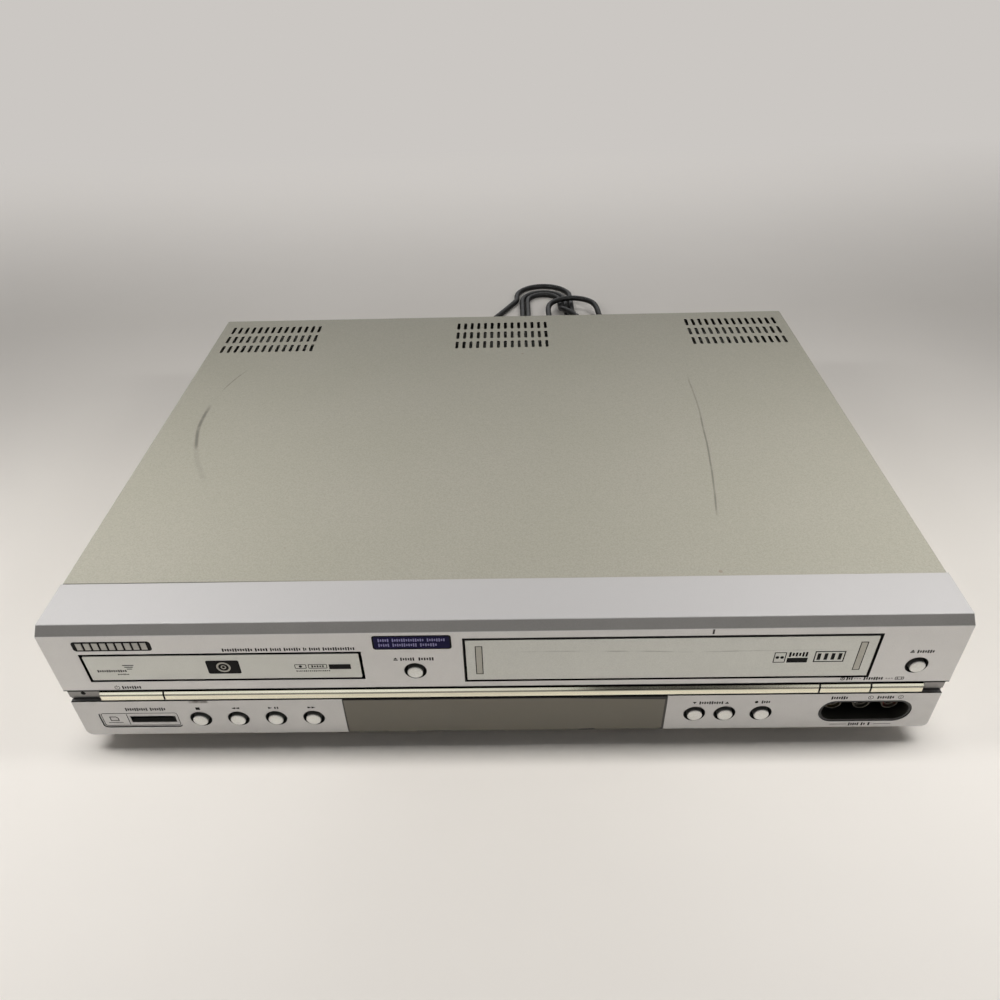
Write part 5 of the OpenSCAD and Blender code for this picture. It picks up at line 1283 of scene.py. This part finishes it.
def fade_floor(floor, pale):
    """Turns the floor into an even pale background well behind the part."""
    rays = floor.add("ShaderNodeLightPath")
    seen = floor.either(*(rays.outputs[f"Is {kind} Ray"] for kind in ("Camera", "Glossy", "Transmission")))
    reach = floor.add("ShaderNodeVectorMath", operation="LENGTH")
    floor.wire(floor.place, reach.inputs[0])
    outside = floor.either(floor.span(floor.y, *FADE_BEHIND), floor.span(reach.outputs["Value"], *FADE_AROUND))
    glow = floor.add("ShaderNodeEmission")
    glow.inputs["Color"].default_value = (*pale, 1)
    blend = floor.add("ShaderNodeMixShader")
    floor.wire(floor.both(seen, outside), blend.inputs[0])
    floor.wire(floor.shader.outputs["BSDF"], blend.inputs[1])
    floor.wire(glow.outputs["Emission"], blend.inputs[2])
    floor.wire(blend.outputs[0], floor.output.inputs["Surface"])


def studio(scene):
    """The pale floor, the soft lamps and the even light all round."""
    stage = scene.player_stage
    floor = Coat("floor", 0.6, 0.0, 0.1)
    floor.colour(floor.mottle(stage.floor, 0.015, 6))
    fade_floor(floor, stage.backdrop)
    plain_floor(FLOOR_REACH, floor)
    soft_lamp(scene, "floor_lamp", (0.0, -0.62, 0.62), (0.0, -0.62, 0.0), (1.7, 0.3), stage.floor_power, 70)
    soft_lamp(scene, "rear_lamp", (-0.3, 1.3, 1.1), (-0.3, 1.2, 0.0), (2.4, 0.9), stage.rear_power, 90)
    soft_lamp(scene, "back_lamp", (0.0, 2.2, 0.75), (0.0, 0.1, 0.0), (2.0, 0.8), stage.back_power)
    for side in (-1, 1):
        soft_lamp(scene, f"key_lamp_{side + 1}", (side * 0.325, -0.13, 0.42), (side * 0.325, -0.13, 0.0),
                  (0.35, 0.06), stage.key_power)
        soft_lamp(scene, f"side_lamp_{side + 1}", (side * 1.3, 0.0, 0.8), (0.0, 0.0, 0.05), (0.8, 1.2),
                  stage.side_power)
    for name, left, right in (("front_lamp_left", -1.6, 0.25), ("front_lamp_right", 0.8, 1.9)):
        soft_lamp(scene, name, ((left + right) / 2, -2.4, 0.4), (0.0, -0.17, 0.04), (right - left, 0.7),
                  stage.front_power * (right - left))
    scene.world = even_light(stage)
    scene.view_settings.view_transform = "Standard"


# ---- Operators ----


class PLAYER_OT_finishes(bpy.types.Operator):
    """Makes every finish of the part"""

    bl_idname = "player.finishes"
    bl_label = "Finishes"

    def execute(self, context):
        COATS.update(build_coats(context.scene))
        return {"FINISHED"}


class PLAYER_OT_camera(bpy.types.Operator):
    """Sets up the camera"""

    bl_idname = "player.camera"
    bl_label = "Camera"

    def execute(self, context):
        camera_view(context.scene)
        return {"FINISHED"}


class PLAYER_OT_cord(bpy.types.Operator):
    """Lays the power cord behind the cabinet"""

    bl_idname = "player.cord"
    bl_label = "Power cord"

    def execute(self, context):
        finish_nodes("cord")
        lay_cord(context.scene)
        return {"FINISHED"}


class PLAYER_OT_cabinet(bpy.types.Operator):
    """Finishes the cover, chassis, rear panel, screws and feet"""

    bl_idname = "player.cabinet"
    bl_label = "Cabinet"

    def execute(self, context):
        finish_nodes("cabinet")
        return {"FINISHED"}


class PLAYER_OT_front(bpy.types.Operator):
    """Finishes the fascia, doors, trim, keys, buttons, window and sockets"""

    bl_idname = "player.front"
    bl_label = "Front"

    def execute(self, context):
        finish_nodes("front")
        led_lens()
        front_jack_rings()
        return {"FINISHED"}


class PLAYER_OT_prints(bpy.types.Operator):
    """Prints the signs on the front, with blanks where a name would be"""

    bl_idname = "player.prints"
    bl_label = "Printed marks"

    def execute(self, context):
        front_prints()
        return {"FINISHED"}


class PLAYER_OT_boards(bpy.types.Operator):
    """Finishes the circuit boards, transformer, tuner and rear sockets"""

    bl_idname = "player.boards"
    bl_label = "Boards and sockets"

    def execute(self, context):
        finish_nodes("boards")
        rear_prints()
        return {"FINISHED"}


class PLAYER_OT_disc_drive(bpy.types.Operator):
    """Finishes the disc drive"""

    bl_idname = "player.disc_drive"
    bl_label = "Disc drive"

    def execute(self, context):
        finish_nodes("disc_drive")
        return {"FINISHED"}


class PLAYER_OT_tape_drive(bpy.types.Operator):
    """Finishes the tape drive"""

    bl_idname = "player.tape_drive"
    bl_label = "Tape drive"

    def execute(self, context):
        finish_nodes("tape_drive")
        return {"FINISHED"}


class PLAYER_OT_stage(bpy.types.Operator):
    """Sets up the floor and the lamps"""

    bl_idname = "player.stage"
    bl_label = "Stage"

    def execute(self, context):
        studio(context.scene)
        return {"FINISHED"}


STEPS = (
    PLAYER_OT_finishes, PLAYER_OT_camera, PLAYER_OT_cord, PLAYER_OT_cabinet, PLAYER_OT_front,
    PLAYER_OT_prints, PLAYER_OT_boards, PLAYER_OT_disc_drive, PLAYER_OT_tape_drive, PLAYER_OT_stage,
)
SETTINGS = {
    "player_colours": PlayerColours,
    "player_wear": PlayerWear,
    "player_cord": PlayerCord,
    "player_stage": PlayerStage,
}


class PLAYER_PT_panel(bpy.types.Panel):
    """Lists the steps that dress the player"""

    bl_idname = "PLAYER_PT_panel"
    bl_label = "Disc and Tape Player"
    bl_space_type = "VIEW_3D"
    bl_region_type = "UI"
    bl_category = "Player"

    def draw(self, context):
        for step in STEPS:
            self.layout.operator(step.bl_idname)
        for name, group in SETTINGS.items():
            box = self.layout.box()
            for key in group.__annotations__:
                box.prop(getattr(context.scene, name), key)


def register():
    for group in SETTINGS.values():
        bpy.utils.register_class(group)
    for name, group in SETTINGS.items():
        setattr(bpy.types.Scene, name, bpy.props.PointerProperty(type=group))
    for step in (*STEPS, PLAYER_PT_panel):
        bpy.utils.register_class(step)


def unregister():
    for step in (PLAYER_PT_panel, *reversed(STEPS)):
        bpy.utils.unregister_class(step)
    for name in SETTINGS:
        delattr(bpy.types.Scene, name)
    for group in SETTINGS.values():
        bpy.utils.unregister_class(group)


def main():
    """Dresses the player step by step."""
    register()
    for step in STEPS:
        group, name = step.bl_idname.split(".")
        getattr(getattr(bpy.ops, group), name)()


if __name__ == "__main__":
    main()
